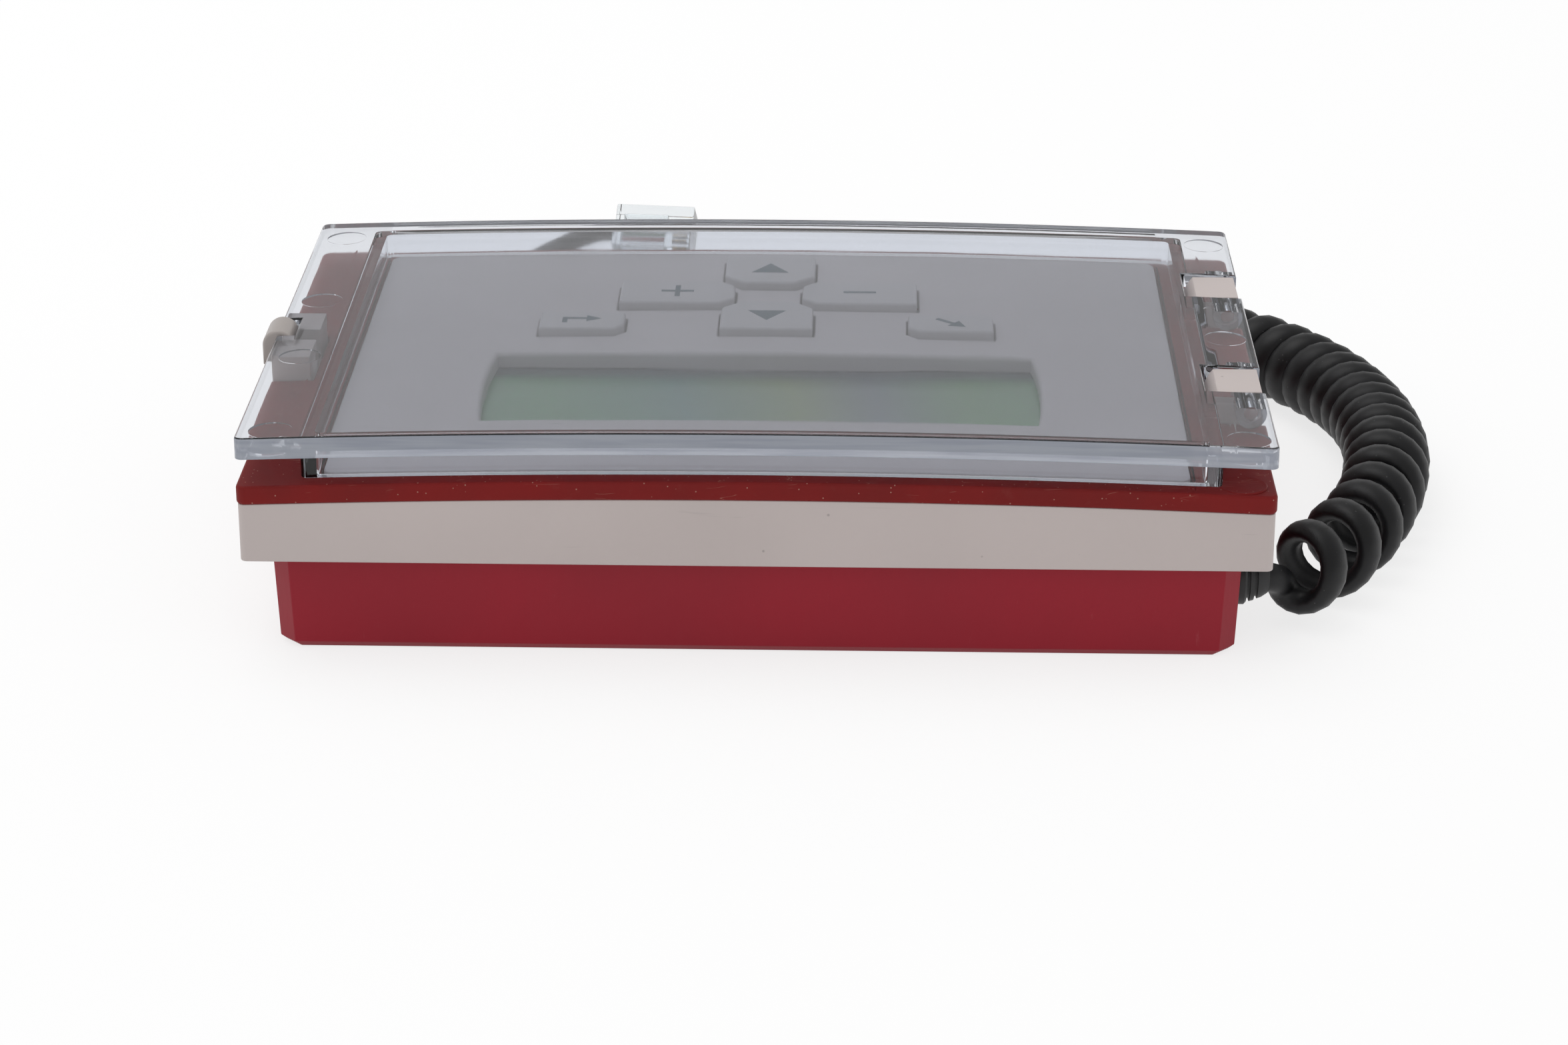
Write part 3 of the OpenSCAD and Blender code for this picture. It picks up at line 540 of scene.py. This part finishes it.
def deselect():
    """Leaves edit mode, with nothing selected."""
    if bpy.context.object and bpy.context.object.mode != "OBJECT":
        bpy.ops.object.mode_set(mode="OBJECT")
    bpy.ops.object.select_all(action="DESELECT")


def only(piece):
    """Makes a piece the only selected and the active one."""
    deselect()
    piece.select_set(True)
    bpy.context.view_layer.objects.active = piece
    return piece


def box(name, low, high):
    """Cube primitive between two corners, in metres."""
    deselect()
    low, high = Vector(low), Vector(high)
    bpy.ops.mesh.primitive_cube_add(size=1, location=(low + high) / 2, scale=high - low)
    piece = bpy.context.object
    piece.name = name
    bpy.ops.object.transform_apply(location=True, rotation=True, scale=True)
    return piece


def pick(piece, kind, test):
    """In edit mode, selects the edges or faces that pass a test."""
    bpy.context.view_layer.objects.active = piece
    if piece.mode != "EDIT":
        bpy.ops.object.mode_set(mode="EDIT")
    bpy.ops.mesh.select_mode(type="EDGE" if kind == "edges" else "FACE")
    bpy.ops.mesh.select_all(action="DESELECT")
    shape = bmesh.from_edit_mesh(piece.data)
    shape.normal_update()
    found = 0
    for part in getattr(shape, kind):
        if test(part):
            part.select_set(True)
            found += 1
    shape.select_flush_mode()
    bmesh.update_edit_mesh(piece.data)
    return found


def middle(edge):
    return (edge.verts[0].co + edge.verts[1].co) / 2


def turn_of(edge):
    """Angle between an edge's two faces, in degrees; convex edges are positive."""
    if len(edge.link_faces) != 2:
        return 0.0
    return math.degrees(edge.calc_face_angle_signed(0.0))


def round_edges(piece, test, radius, segments=3):
    """Bevels the edges that pass a test."""
    if pick(piece, "edges", test):
        bpy.ops.mesh.bevel(offset_type="OFFSET", offset=radius, segments=segments,
                           profile=0.5, affect="EDGES", clamp_overlap=True)
    bpy.ops.object.mode_set(mode="OBJECT")


def upright(edge):
    a, b = (v.co for v in edge.verts)
    return abs(a.z - b.z) > 4 * max(abs(a.x - b.x), abs(a.y - b.y))


def copy_of_node(node, name):
    """A merged copy of a CAD node, with its flat faces whole again."""
    deselect()
    piece = bpy.data.objects.new(name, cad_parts[node].data.copy())
    bpy.context.scene.collection.objects.link(piece)
    piece.data.materials.clear()
    only(piece)
    bpy.ops.object.mode_set(mode="EDIT")
    bpy.ops.mesh.select_all(action="SELECT")
    bpy.ops.mesh.remove_doubles(threshold=0.002 * MM)
    bpy.ops.mesh.dissolve_limited(angle_limit=math.radians(0.04))
    bpy.ops.object.mode_set(mode="OBJECT")
    return piece


def copy_piece(piece, name, place):
    """Another object with a mesh of its own, moved by a matrix."""
    made = piece.copy()
    made.data = piece.data.copy()
    made.name = name
    bpy.context.scene.collection.objects.link(made)
    made.matrix_world = place @ made.matrix_world
    only(made)
    bpy.ops.object.transform_apply(location=True, rotation=True, scale=True)
    return made


def joined(name, pieces):
    """Joins pieces into one."""
    deselect()
    for piece in pieces:
        piece.select_set(True)
    bpy.context.view_layer.objects.active = pieces[0]
    bpy.ops.object.join()
    bpy.context.object.name = name
    return bpy.context.object


def in_metres(rings):
    return [(distance * MM, radius * MM) for distance, radius in rings]


def rings_along(name, rings, place, vertices=40):
    """Round solid: a circle extruded and resized through (distance, radius) rings."""
    deselect()
    bpy.ops.mesh.primitive_circle_add(vertices=vertices, radius=rings[0][1], fill_type="NGON",
                                      location=(0, 0, rings[0][0]))
    piece = bpy.context.object
    piece.name = name
    bpy.ops.object.transform_apply(location=True, rotation=True, scale=True)
    bpy.ops.object.mode_set(mode="EDIT")
    bpy.ops.mesh.select_all(action="SELECT")
    for (was, r_was), (now, r_now) in zip(rings, rings[1:]):
        bpy.ops.mesh.extrude_region_move(TRANSFORM_OT_translate={"value": (0, 0, now - was)})
        scale = r_now / r_was
        bpy.ops.transform.resize(value=(scale, scale, 1), center_override=(0, 0, now))
    bpy.ops.mesh.select_all(action="SELECT")
    bpy.ops.mesh.normals_make_consistent(inside=False)
    bpy.ops.object.mode_set(mode="OBJECT")
    piece.matrix_world = place
    bpy.ops.object.transform_apply(location=True, rotation=True, scale=True)
    return piece


def done(piece, body, material, replaces=(), angle=35):
    """Smooths a finished piece, gives it its material and sets it on its body."""
    only(piece)
    bpy.ops.object.transform_apply(location=True, rotation=True, scale=True)
    if angle and piece.type == "MESH":
        bpy.ops.object.shade_smooth_by_angle(angle=math.radians(angle))
        flat = piece.modifiers.new("flat_faces", "WEIGHTED_NORMAL")
        flat.mode, flat.weight, flat.keep_sharp = "FACE_AREA", 100, True
        bpy.ops.object.modifier_apply(modifier=flat.name)
    piece.data.materials.clear()
    piece.data.materials.append(material)
    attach(piece, body)
    if replaces:
        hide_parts(*replaces)
    deselect()
    return piece


def dress(node, material):
    """A CAD node keeps its shape and takes a finish."""
    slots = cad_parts[node].data.materials
    slots.clear()
    slots.append(material)


# ---- Lead ----

def spline(points, step):
    """Points on one smooth curve through the given ones, about step apart."""
    points = [Vector(p) for p in points]
    ends = [2 * points[0] - points[1], *points, 2 * points[-1] - points[-2]]
    line = []
    for a, b, c, d in zip(ends, ends[1:], ends[2:], ends[3:]):
        count = max(2, round((c - b).length / step))
        for i in range(count):
            t = i / count
            line.append(0.5 * (2 * b + (c - a) * t + (2 * a - 5 * b + 4 * c - d) * t * t
                               + (3 * b - a - 3 * c + d) * t ** 3))
    return line + [points[-1]]


def eased(t):
    t = min(1.0, max(0.0, t))
    return t * t * (3 - 2 * t)


def curl_points():
    """The curly stretch as (point, direction of the coil, flatness), opening out at its start."""
    axis = spline([(x, y, COIL_LEVEL) for x, y in COIL_ROUTE], 0.2 * MM)
    reach = [0.0]
    for p, q in zip(axis, axis[1:]):
        reach.append(reach[-1] + (q - p).length)
    radius = (sizes().curl_diameter - sizes().lead_depth) / 2
    points, at, turned, index = [], 0.0, 0.0, 0
    while at < reach[-1]:
        while reach[index + 1] < at and index < len(axis) - 2:
            index += 1
        share = (at - reach[index]) / (reach[index + 1] - reach[index])
        centre = axis[index].lerp(axis[index + 1], share)
        ahead = (axis[index + 1] - axis[index]).normalized()
        side = Vector((ahead.y, -ahead.x, 0))
        ends = eased((at + 1.0 * MM) / (5.0 * MM)) * eased((reach[-1] - at) / (7 * MM))
        loose = 1 + 0.035 * math.sin(at / (7.3 * MM)) * math.exp(-at / (60 * MM))
        turn = turned + CURL_START
        out = math.cos(turn) * side + math.sin(turn) * Vector((0, 0, 1))
        points.append((centre + radius * ends * loose * out, ahead, ends))
        pitch = (sizes().curl_pitch + OPEN_PITCH * math.exp(-(at / OPEN_REACH) ** 2)
                 - TIGHT_PITCH * math.exp(-((at - TIGHT_AT) / TIGHT_REACH) ** 2))
        wobble = 1 + 0.05 * math.sin(at / (17 * MM)) + 0.03 * math.sin(at / (5.3 * MM))
        at += pitch * wobble / TURN_POINTS
        turned += 2 * math.pi / TURN_POINTS
    return points


def lead_points():
    """The whole lead, from the outlet to the plug, as (point, direction of the coil, flatness)."""
    start = [(p, Vector((0, 0, 1)), 0.0) for p in spline(LEAD_ROUTE, 0.8 * MM)]
    tail = [(p, Vector((0, 0, 1)), 0.0) for p in spline(TAIL_ROUTE, 1.6 * MM)]
    line = start[:-1] + curl_points() + tail[2:]
    for _ in range(SMOOTH_PASSES):
        line = [row if i < FIXED_POINTS or i > len(line) - 1 - FIXED_POINTS
                else tuple(0.25 * line[i - 1][k] + 0.5 * row[k] + 0.25 * line[i + 1][k]
                           for k in range(3))
                for i, row in enumerate(line)]
    return line


def flat_tube(name, line):
    """Closed tube along a line, round where its flatness is 0 and an oval where it is 1."""
    size = sizes()
    across = None
    rows = []
    for i, (point, axis, flat) in enumerate(line):
        ahead = (line[min(i + 1, len(line) - 1)][0] - line[max(i - 1, 0)][0]).normalized()
        wanted = axis - axis.dot(ahead) * ahead
        if across is None:
            across = wanted.normalized()
        carried = (across - across.dot(ahead) * ahead).normalized()
        if wanted.length > 0.2:
            wanted.normalize()
            if wanted.dot(carried) < 0:
                wanted = -wanted
            carried = carried.lerp(wanted, 0.12 + 0.7 * flat).normalized()
        across = carried
        deep = ahead.cross(across)
        wide = size.lead_diameter + flat * (size.lead_width - size.lead_diameter)
        thick = size.lead_diameter + flat * (size.lead_depth - size.lead_diameter)
        for k in range(TUBE_SIDES):
            a = 2 * math.pi * k / TUBE_SIDES
            rows.append(point + wide / 2 * math.cos(a) * across + thick / 2 * math.sin(a) * deep)
    n, count = TUBE_SIDES, len(line)
    faces = [(i * n + k, i * n + (k + 1) % n, (i + 1) * n + (k + 1) % n, (i + 1) * n + k)
             for i in range(count - 1) for k in range(n)]
    faces += [tuple(reversed(range(n))), tuple((count - 1) * n + k for k in range(n))]
    mesh = bpy.data.meshes.new(name)
    mesh.from_pydata(rows, [], faces)
    tube = bpy.data.objects.new(name, mesh)
    bpy.context.scene.collection.objects.link(tube)
    only(tube)
    bpy.ops.object.mode_set(mode="EDIT")
    bpy.ops.mesh.select_all(action="SELECT")
    bpy.ops.mesh.normals_make_consistent(inside=False)
    bpy.ops.object.mode_set(mode="OBJECT")
    return tube


class THERMOSTAT_OT_lead(bpy.types.Operator):
    """Curly lead, its strain relief and the clear plug on its end"""
    bl_idname = "thermostat.lead"
    bl_label = "Lead and plug"

    def execute(self, context):
        line = lead_points()
        path = [point for point, _, _ in line]
        lead = flat_tube("curly_lead", line)
        sheath = cord_sheath()
        done(lead, "unit", sheath, ("cord_lead", "cord_coil", "cord_tail"), angle=60)
        real = sum((q - p).length for p, q in zip(path, path[1:]))

        # Strain relief: a collar against the housing, two ribs and a taper
        low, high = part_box("cord_gland")
        wall = high.x - RELIEF_WALL
        start = low.x - wall
        inner = [(start + 0.01 * MM, RELIEF_NUT), (start + RELIEF_NUT_T, RELIEF_NUT),
                 (start + RELIEF_NUT_T, RELIEF_NECK), (-0.01 * MM, RELIEF_NECK)]
        place = Matrix.Translation((wall, *LEAD_ROUTE[0][1:])) @ LYING
        relief = rings_along("strain_relief", inner + in_metres(RELIEF_OUTER), place)
        done(relief, "unit", moulded("relief_rubber", srgb(24, 24, 26), 0.5),
             ("cord_gland",))
        dress("cord_inner", sheath)

        # Plug
        body = copy_of_node("plug_body", "plug_shell")
        round_edges(body, lambda e: abs(turn_of(e)) > 40, 0.22 * MM, 2)
        clear = clear_plastic("plug_clear", srgb(236, 240, 242), 0.05, 0.08)
        done(body, "unit", clear, ("plug_body",))
        dress("plug_contacts", metal("contact_gold", srgb(226, 178, 88), 0.25))
        wire = rings_along("plug_wire_red", in_metres(WIRE_RINGS), LYING, 20)
        for i, (name, rgb) in enumerate(WIRES.items()):
            place = PLUG_PLACE @ Matrix.Translation((0, (i - 1.5) * WIRE_PITCH, 0))
            made = copy_piece(wire, "plug_wire_" + name + "_core", place)
            done(made, "unit", moulded("wire_" + name, srgb(*rgb), 0.4))
        bpy.data.objects.remove(wire)
        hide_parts("plug_wires")
        return {"FINISHED"}


# ---- Housing, frame and seal ----

class THERMOSTAT_OT_housing(bpy.types.Operator):
    """Crimson rear housing with softened edges, and the screws in its back"""
    bl_idname = "thermostat.housing"
    bl_label = "Rear housing"

    def execute(self, context):
        low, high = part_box("rear_housing")

        def outer(edge):
            spot = middle(edge)
            skin = min(spot.x - low.x, high.x - spot.x, spot.y - low.y, high.y - spot.y,
                       spot.z - low.z)
            return turn_of(edge) > 20 and skin < 0.9 * MM and spot.z < 14.2 * MM

        housing = copy_of_node("rear_housing", "housing_shell")
        round_edges(housing, outer, 0.3 * MM, 3)
        done(housing, "unit", crimson_plastic(), ("rear_housing",))
        steel = metal("screw_steel", srgb(176, 178, 182), 0.3)
        dress("case_screws", steel)
        dress("board_screws", steel)
        return {"FINISHED"}


class THERMOSTAT_OT_frame(bpy.types.Operator):
    """White front frame with its hinge blocks and latch ears"""
    bl_idname = "thermostat.frame"
    bl_label = "Front frame"

    def execute(self, context):
        low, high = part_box("front_frame")

        def outer(edge):
            spot = middle(edge)
            side = min(spot.x - low.x, high.x - spot.x, spot.y - low.y, high.y - spot.y)
            return turn_of(edge) > 30 and (side < 1.2 * MM or spot.z > 24.4 * MM)

        piece = copy_of_node("front_frame", "frame_shell")
        round_edges(piece, outer, sizes().frame_edge, 3)
        done(piece, "unit", white_plastic(), ("front_frame",))
        return {"FINISHED"}


class THERMOSTAT_OT_seal(bpy.types.Operator):
    """Red seal between the frame and the cover, with its moulding pad"""
    bl_idname = "thermostat.seal"
    bl_label = "Seal"

    def execute(self, context):
        def outline(edge):
            return turn_of(edge) > 30 and not upright(edge)

        piece = copy_of_node("seal_gasket", "seal_ring")
        round_edges(piece, outline, sizes().seal_edge, 3)
        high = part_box("seal_gasket")[1]
        place = Matrix.Translation((*PAD_AT, high.z - PAD_BELOW_TOP + 0.1 * MM))
        pad = rings_along("seal_pad", in_metres(PAD_RINGS), place)
        piece = joined("seal_ring", [piece, pad])
        done(piece, "unit", seal_rubber(), ("seal_gasket",))
        return {"FINISHED"}


# ---- Panel, display and keys ----

class THERMOSTAT_OT_panel(bpy.types.Operator):
    """Front panel with soft edges round the window and the keys"""
    bl_idname = "thermostat.panel"
    bl_label = "Front panel"

    def execute(self, context):
        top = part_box("front_panel")[1].z

        def upper(edge):
            return turn_of(edge) > 30 and not upright(edge) and middle(edge).z > top - 2 * MM

        def window(edge):
            spot = middle(edge)
            return abs(spot.x) < 41.5 * MM and -31 * MM < spot.y < -2 * MM

        piece = copy_of_node("front_panel", "panel_film")
        round_edges(piece, lambda e: upper(e) and window(e), 2 * sizes().panel_edge, 4)
        round_edges(piece, lambda e: upper(e) and not window(e) and abs(turn_of(e)) > 60,
                    0.5 * sizes().panel_edge, 2)
        done(piece, "unit", panel_film(), ("front_panel",))
        return {"FINISHED"}


class THERMOSTAT_OT_display(bpy.types.Operator):
    """Liquid crystal cell, its backlight and the row of pins"""
    bl_idname = "thermostat.display"
    bl_label = "Display"

    def execute(self, context):
        dress("display_glass", display_crystal())
        dress("display_backlight", moulded("backlight_diffuser", srgb(214, 218, 212), 0.35))
        dress("display_pins", metal("pin_tin", srgb(196, 190, 170), 0.3))
        return {"FINISHED"}


def cap(name, spot, size, cuts):
    """One key: a cut and rounded cap on its hidden flange and stem."""
    low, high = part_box(name)
    x, y = spot[0] * MM, spot[1] * MM
    w, d = size[0] * MM / 2, size[1] * MM / 2
    seat = high.z - KEY_DEPTH
    key = box(name + "_cap", (x - w, y - d, seat), (x + w, y + d, high.z))
    for sx, sy, cut in cuts:
        def corner(edge, sx=sx, sy=sy):
            spot = middle(edge)
            return upright(edge) and (spot.x - x) * sx > 0 and (spot.y - y) * sy > 0
        round_edges(key, corner, cut * MM, 1)
    round_edges(key, upright, KEY_CORNER, 4)
    round_edges(key, lambda e: turn_of(e) > 60 and middle(e).z > high.z - 0.01 * MM,
                sizes().key_edge, 5)
    # The flange under the panel, and the stem down to the switch
    pick(key, "faces", lambda f: f.normal.z < -0.9)
    bpy.ops.mesh.extrude_region_move(TRANSFORM_OT_translate={"value": (0, 0, 0)})
    bpy.ops.transform.resize(value=((w + KEY_FLANGE) / w, (d + KEY_FLANGE) / d, 1),
                             center_override=(x, y, seat))
    bpy.ops.mesh.extrude_region_move(TRANSFORM_OT_translate={"value": (0, 0, -KEY_FLANGE_T)})
    bpy.ops.object.mode_set(mode="OBJECT")
    flange = seat - KEY_FLANGE_T
    stem = rings_along(name + "_stem", [(0, KEY_STEM_R), (low.z - flange, KEY_STEM_R)],
                       Matrix.Translation((x, y, flange)), 32)
    return joined(name + "_cap", [key, stem])


def bar(start, end, width, level):
    """Flat stroke of print between two points, in millimetres."""
    (x0, y0), (x1, y1) = start, end
    long = math.hypot(x1 - x0, y1 - y0)
    deselect()
    bpy.ops.mesh.primitive_plane_add(
        size=1, location=((x0 + x1) / 2 * MM, (y0 + y1) / 2 * MM, level),
        rotation=(0, 0, math.atan2(y1 - y0, x1 - x0)))
    bpy.context.object.scale = (long * MM, width * MM, 1)
    bpy.ops.object.transform_apply(location=True, rotation=True, scale=True)
    return bpy.context.object


def arrowhead(tip, angle, size, level, broad=1.0):
    """Flat triangle of print that points along an angle, in degrees."""
    deselect()
    bpy.ops.mesh.primitive_circle_add(vertices=3, radius=size * MM, fill_type="NGON")
    head = bpy.context.object
    head.data.transform(Matrix.Rotation(math.radians(-90), 4, "Z"))
    points = [v.co.copy() for v in head.data.vertices]
    front = max(p.x for p in points)
    head.data.transform(Matrix.Translation((-front, 0, 0)))
    head.data.transform(Matrix.Diagonal((1, broad, 1, 1)))
    head.matrix_world = (Matrix.Translation((tip[0] * MM, tip[1] * MM, level))
                         @ Matrix.Rotation(math.radians(angle), 4, "Z"))
    only(head)
    bpy.ops.object.transform_apply(location=True, rotation=True, scale=True)
    return head


def printed(name, strokes):
    """Joins strokes of print and gives them the thickness of ink."""
    mark = joined(name, strokes) if len(strokes) > 1 else strokes[0]
    mark.name = name
    only(mark)
    bpy.ops.object.mode_set(mode="EDIT")
    bpy.ops.mesh.select_all(action="SELECT")
    bpy.ops.mesh.extrude_region_move(TRANSFORM_OT_translate={"value": (0, 0, INK_DEPTH)})
    bpy.ops.mesh.select_all(action="SELECT")
    bpy.ops.mesh.normals_make_consistent(inside=False)
    bpy.ops.object.mode_set(mode="OBJECT")
    return mark


def print_strokes(name, x, y, z):
    """The strokes on one key: triangles, plus, minus, a hooked arrow and a slanted arrow."""
    if name in ("key_up", "key_down"):
        way = 1 if name == "key_up" else -1
        return [arrowhead((x, y + 2.7 * way), 90 * way, POINTER, z, POINTER_BROAD)]
    if name in ("key_plus", "key_minus"):
        strokes = [bar((x - SIGN_HALF, y), (x + SIGN_HALF, y), SIGN_WIDE, z)]
        if name == "key_plus":
            strokes += [bar((x, y + SIGN_WIDE / 2), (x, y + SIGN_HALF), SIGN_WIDE, z),
                        bar((x, y - SIGN_HALF), (x, y - SIGN_WIDE / 2), SIGN_WIDE, z)]
        return strokes
    if name == "key_back":
        return [bar((x - 2.6, y - 1.4), (x - 2.6, y + 0.9), LINE_WIDE, z),
                bar((x - 2.225, y + 0.525), (x + 0.8, y + 0.525), LINE_WIDE, z),
                arrowhead((x + 2.9, y + 0.525), 0, 1.5, z)]
    return [bar((x - 2.1, y + 1.7), (x + 0.35, y - 0.4), LINE_WIDE, z),
            arrowhead((x + 2.2, y - 1.9), -40, 1.6, z)]


class THERMOSTAT_OT_keys(bpy.types.Operator):
    """Six keys, each with its print"""
    bl_idname = "thermostat.keys"
    bl_label = "Keys"

    def execute(self, context):
        plastic = moulded("key_plastic", colours().keys, 0.4, wear=0.025)
        ink = moulded("key_ink", colours().ink, 0.5, wear=0.08)
        for name, (spot, size, cuts) in KEYS.items():
            key = cap(name, spot, size, cuts)
            done(key, name, plastic, (name,))
            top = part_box(name)[1].z
            mark = printed(name + "_print", print_strokes(name, *spot, top))
            done(mark, name, ink, angle=0)
        return {"FINISHED"}


# ---- Cover, hinges and latch ----

class THERMOSTAT_OT_cover(bpy.types.Operator):
    """Clear hinged cover with softened edges"""
    bl_idname = "thermostat.cover"
    bl_label = "Clear cover"

    def execute(self, context):
        low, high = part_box("clear_cover")

        def upper(edge):
            spot = middle(edge)
            return turn_of(edge) > 40 and not upright(edge) and spot.z > high.z - 2.2 * MM

        def rim_foot(edge):
            spot = middle(edge)
            return (turn_of(edge) > 40 and not upright(edge) and spot.z < low.z + 1.5 * MM
                    and spot.x < 65 * MM)

        piece = copy_of_node("clear_cover", "cover_shell")
        round_edges(piece, upper, sizes().cover_edge, 3)
        round_edges(piece, rim_foot, 0.9 * sizes().cover_edge, 3)
        done(piece, "cover", clear_plastic("cover_clear", colours().cover,
                                          rim_at=COVER_EDGE_AT),
             ("clear_cover",), angle=25)
        steel = metal("pin_steel", srgb(186, 187, 190), 0.22)
        dress("hinge_pins", steel)
        dress("latch_pin", steel)
        return {"FINISHED"}


class THERMOSTAT_OT_latch(bpy.types.Operator):
    """Thumb latch with a soft domed head"""
    bl_idname = "thermostat.latch"
    bl_label = "Latch"

    def execute(self, context):
        piece = copy_of_node("cover_latch", "latch_lever")
        round_edges(piece, lambda e: turn_of(e) > 45 and middle(e).z > 28.5 * MM, 0.45 * MM, 4)
        done(piece, "latch", moulded("latch_plastic", colours().latch, 0.4, wear=0.04),
             ("cover_latch",))
        return {"FINISHED"}


# ---- Electronics ----

class THERMOSTAT_OT_electronics(bpy.types.Operator):
    """Finishes of the circuit board and what is on it"""
    bl_idname = "thermostat.electronics"
    bl_label = "Electronics"

    def execute(self, context):
        dress("circuit_board", board_laminate())
        package = moulded("chip_package", srgb(38, 38, 40), 0.55, wear=0.12)
        dress("processor_chip", package)
        dress("driver_chips", package)
        dress("key_switches", moulded("switch_body", srgb(52, 52, 55), 0.5, wear=0.1))
        dress("quartz_crystal", metal("crystal_can", srgb(188, 188, 184), 0.28))
        dress("capacitors", moulded("capacitor_sleeve", srgb(34, 40, 62), 0.35, wear=0.1))
        dress("temperature_sensor", moulded("sensor_package", srgb(44, 40, 38), 0.5, wear=0.1))
        dress("lead_header", moulded("header_nylon", srgb(226, 220, 202), 0.42, wear=0.05))
        dress("lead_wires", moulded("lead_core", srgb(170, 44, 36), 0.42, wear=0.08))
        return {"FINISHED"}


# ---- Stage ----

class THERMOSTAT_OT_stage(bpy.types.Operator):
    """Camera, soft light and the pale floor"""
    bl_idname = "thermostat.stage"
    bl_label = "Stage"

    def execute(self, context):
        scene = context.scene
        lens = bpy.data.cameras.new("camera")
        lens.lens, lens.sensor_width = CAMERA_LENS, CAMERA_SENSOR
        lens.clip_start, lens.clip_end = 0.01, 20.0
        camera = bpy.data.objects.new("camera", lens)
        camera.location = CAMERA_AT
        camera.rotation_euler = [math.radians(a) for a in CAMERA_TURN]
        scene.collection.objects.link(camera)
        scene.camera = camera
        scene.view_settings.view_transform = "Standard"

        deselect()
        bpy.ops.mesh.primitive_plane_add(size=FLOOR_SIZE, location=(0, 0, 0))
        floor = bpy.context.object
        floor.name = "studio_floor"
        finish = Finish("studio_floor")
        tooth = finish.grain(2 * MM, 2)
        tone = finish.mix(tooth * 0.3, srgb(240, 240, 240), srgb(236, 236, 236))
        paper = finish.node("ShaderNodeBsdfPrincipled", None,
                            {"Base Color": tone, "Roughness": 0.9})
        glow = finish.node("ShaderNodeEmission", None,
                           {"Color": (1, 1, 1), "Strength": GLOW_LEVEL})
        # The floor glows where the camera, a reflection or a clear piece looks at it
        seen = sum(finish.rays()).between(0.0, 1.0)
        finish.surface(finish.node("ShaderNodeMixShader", None,
                                   {0: seen * FLOOR_GLOW, 1: paper, 2: glow}))
        floor.data.materials.append(finish.material)
        deselect()

        world = bpy.data.worlds.new("studio")
        scene.world = world
        world.use_nodes = True
        room = Finish.of_tree(world.node_tree)
        camera, glossy, through = room.rays()
        # White round the horizon; what is reflected from overhead is a dimmer ceiling
        height = room.node("ShaderNodeSeparateXYZ", None, {"Vector": room.place}, output="Z")
        overhead = height.between(0.14, 0.30)
        mirrored = glossy * (1 - overhead * (1 - CEILING_LEVEL))
        seen = camera + (1 - camera) * (mirrored + (1 - glossy) * through)
        unseen = (1 - camera) * (1 - glossy) * (1 - through) * WORLD_LEVEL
        sky = room.node("ShaderNodeBackground", None,
                        {"Color": (1.0, 1.0, 1.0), "Strength": seen + unseen})
        room.node("ShaderNodeOutputWorld", None, {"Surface": sky})

        for name, place, aim, size, power in LAMPS:
            light = bpy.data.lights.new(name, "AREA")
            light.shape, light.size, light.energy = "SQUARE", size, power
            lamp = bpy.data.objects.new(name, light)
            lamp.location = place
            lamp.rotation_euler = (Vector(aim) - Vector(place)).to_track_quat("-Z", "Y").to_euler()
            scene.collection.objects.link(lamp)
        return {"FINISHED"}


class THERMOSTAT_PT_build(bpy.types.Panel):
    """Lists the pieces of the thermostat and what can be changed"""
    bl_idname = "THERMOSTAT_PT_build"
    bl_label = "Wall thermostat"
    bl_space_type = "VIEW_3D"
    bl_region_type = "UI"
    bl_category = "Thermostat"

    def draw(self, context):
        layout = self.layout
        for group in (context.scene.thermostat_sizes, context.scene.thermostat_colours):
            column = layout.column(align=True)
            for name in group.bl_rna.properties.keys():
                if name not in ("rna_type", "name"):
                    column.prop(group, name)
        column = layout.column(align=True)
        for operator in OPERATORS:
            column.operator(operator.bl_idname)


OPERATORS = (
    THERMOSTAT_OT_stage,
    THERMOSTAT_OT_lead,
    THERMOSTAT_OT_housing,
    THERMOSTAT_OT_frame,
    THERMOSTAT_OT_seal,
    THERMOSTAT_OT_panel,
    THERMOSTAT_OT_display,
    THERMOSTAT_OT_keys,
    THERMOSTAT_OT_cover,
    THERMOSTAT_OT_latch,
    THERMOSTAT_OT_electronics,
)
CLASSES = (ThermostatSizes, ThermostatColours, *OPERATORS, THERMOSTAT_PT_build)


def register():
    for item in CLASSES:
        bpy.utils.register_class(item)
    bpy.types.Scene.thermostat_sizes = PointerProperty(type=ThermostatSizes)
    bpy.types.Scene.thermostat_colours = PointerProperty(type=ThermostatColours)


def unregister():
    del bpy.types.Scene.thermostat_colours
    del bpy.types.Scene.thermostat_sizes
    for item in reversed(CLASSES):
        bpy.utils.unregister_class(item)


def main():
    register()
    bpy.ops.thermostat.stage()
    bpy.ops.thermostat.lead()
    bpy.ops.thermostat.housing()
    bpy.ops.thermostat.frame()
    bpy.ops.thermostat.seal()
    bpy.ops.thermostat.panel()
    bpy.ops.thermostat.display()
    bpy.ops.thermostat.keys()
    bpy.ops.thermostat.cover()
    bpy.ops.thermostat.latch()
    bpy.ops.thermostat.electronics()
    deselect()


if __name__ == "__main__":
    main()
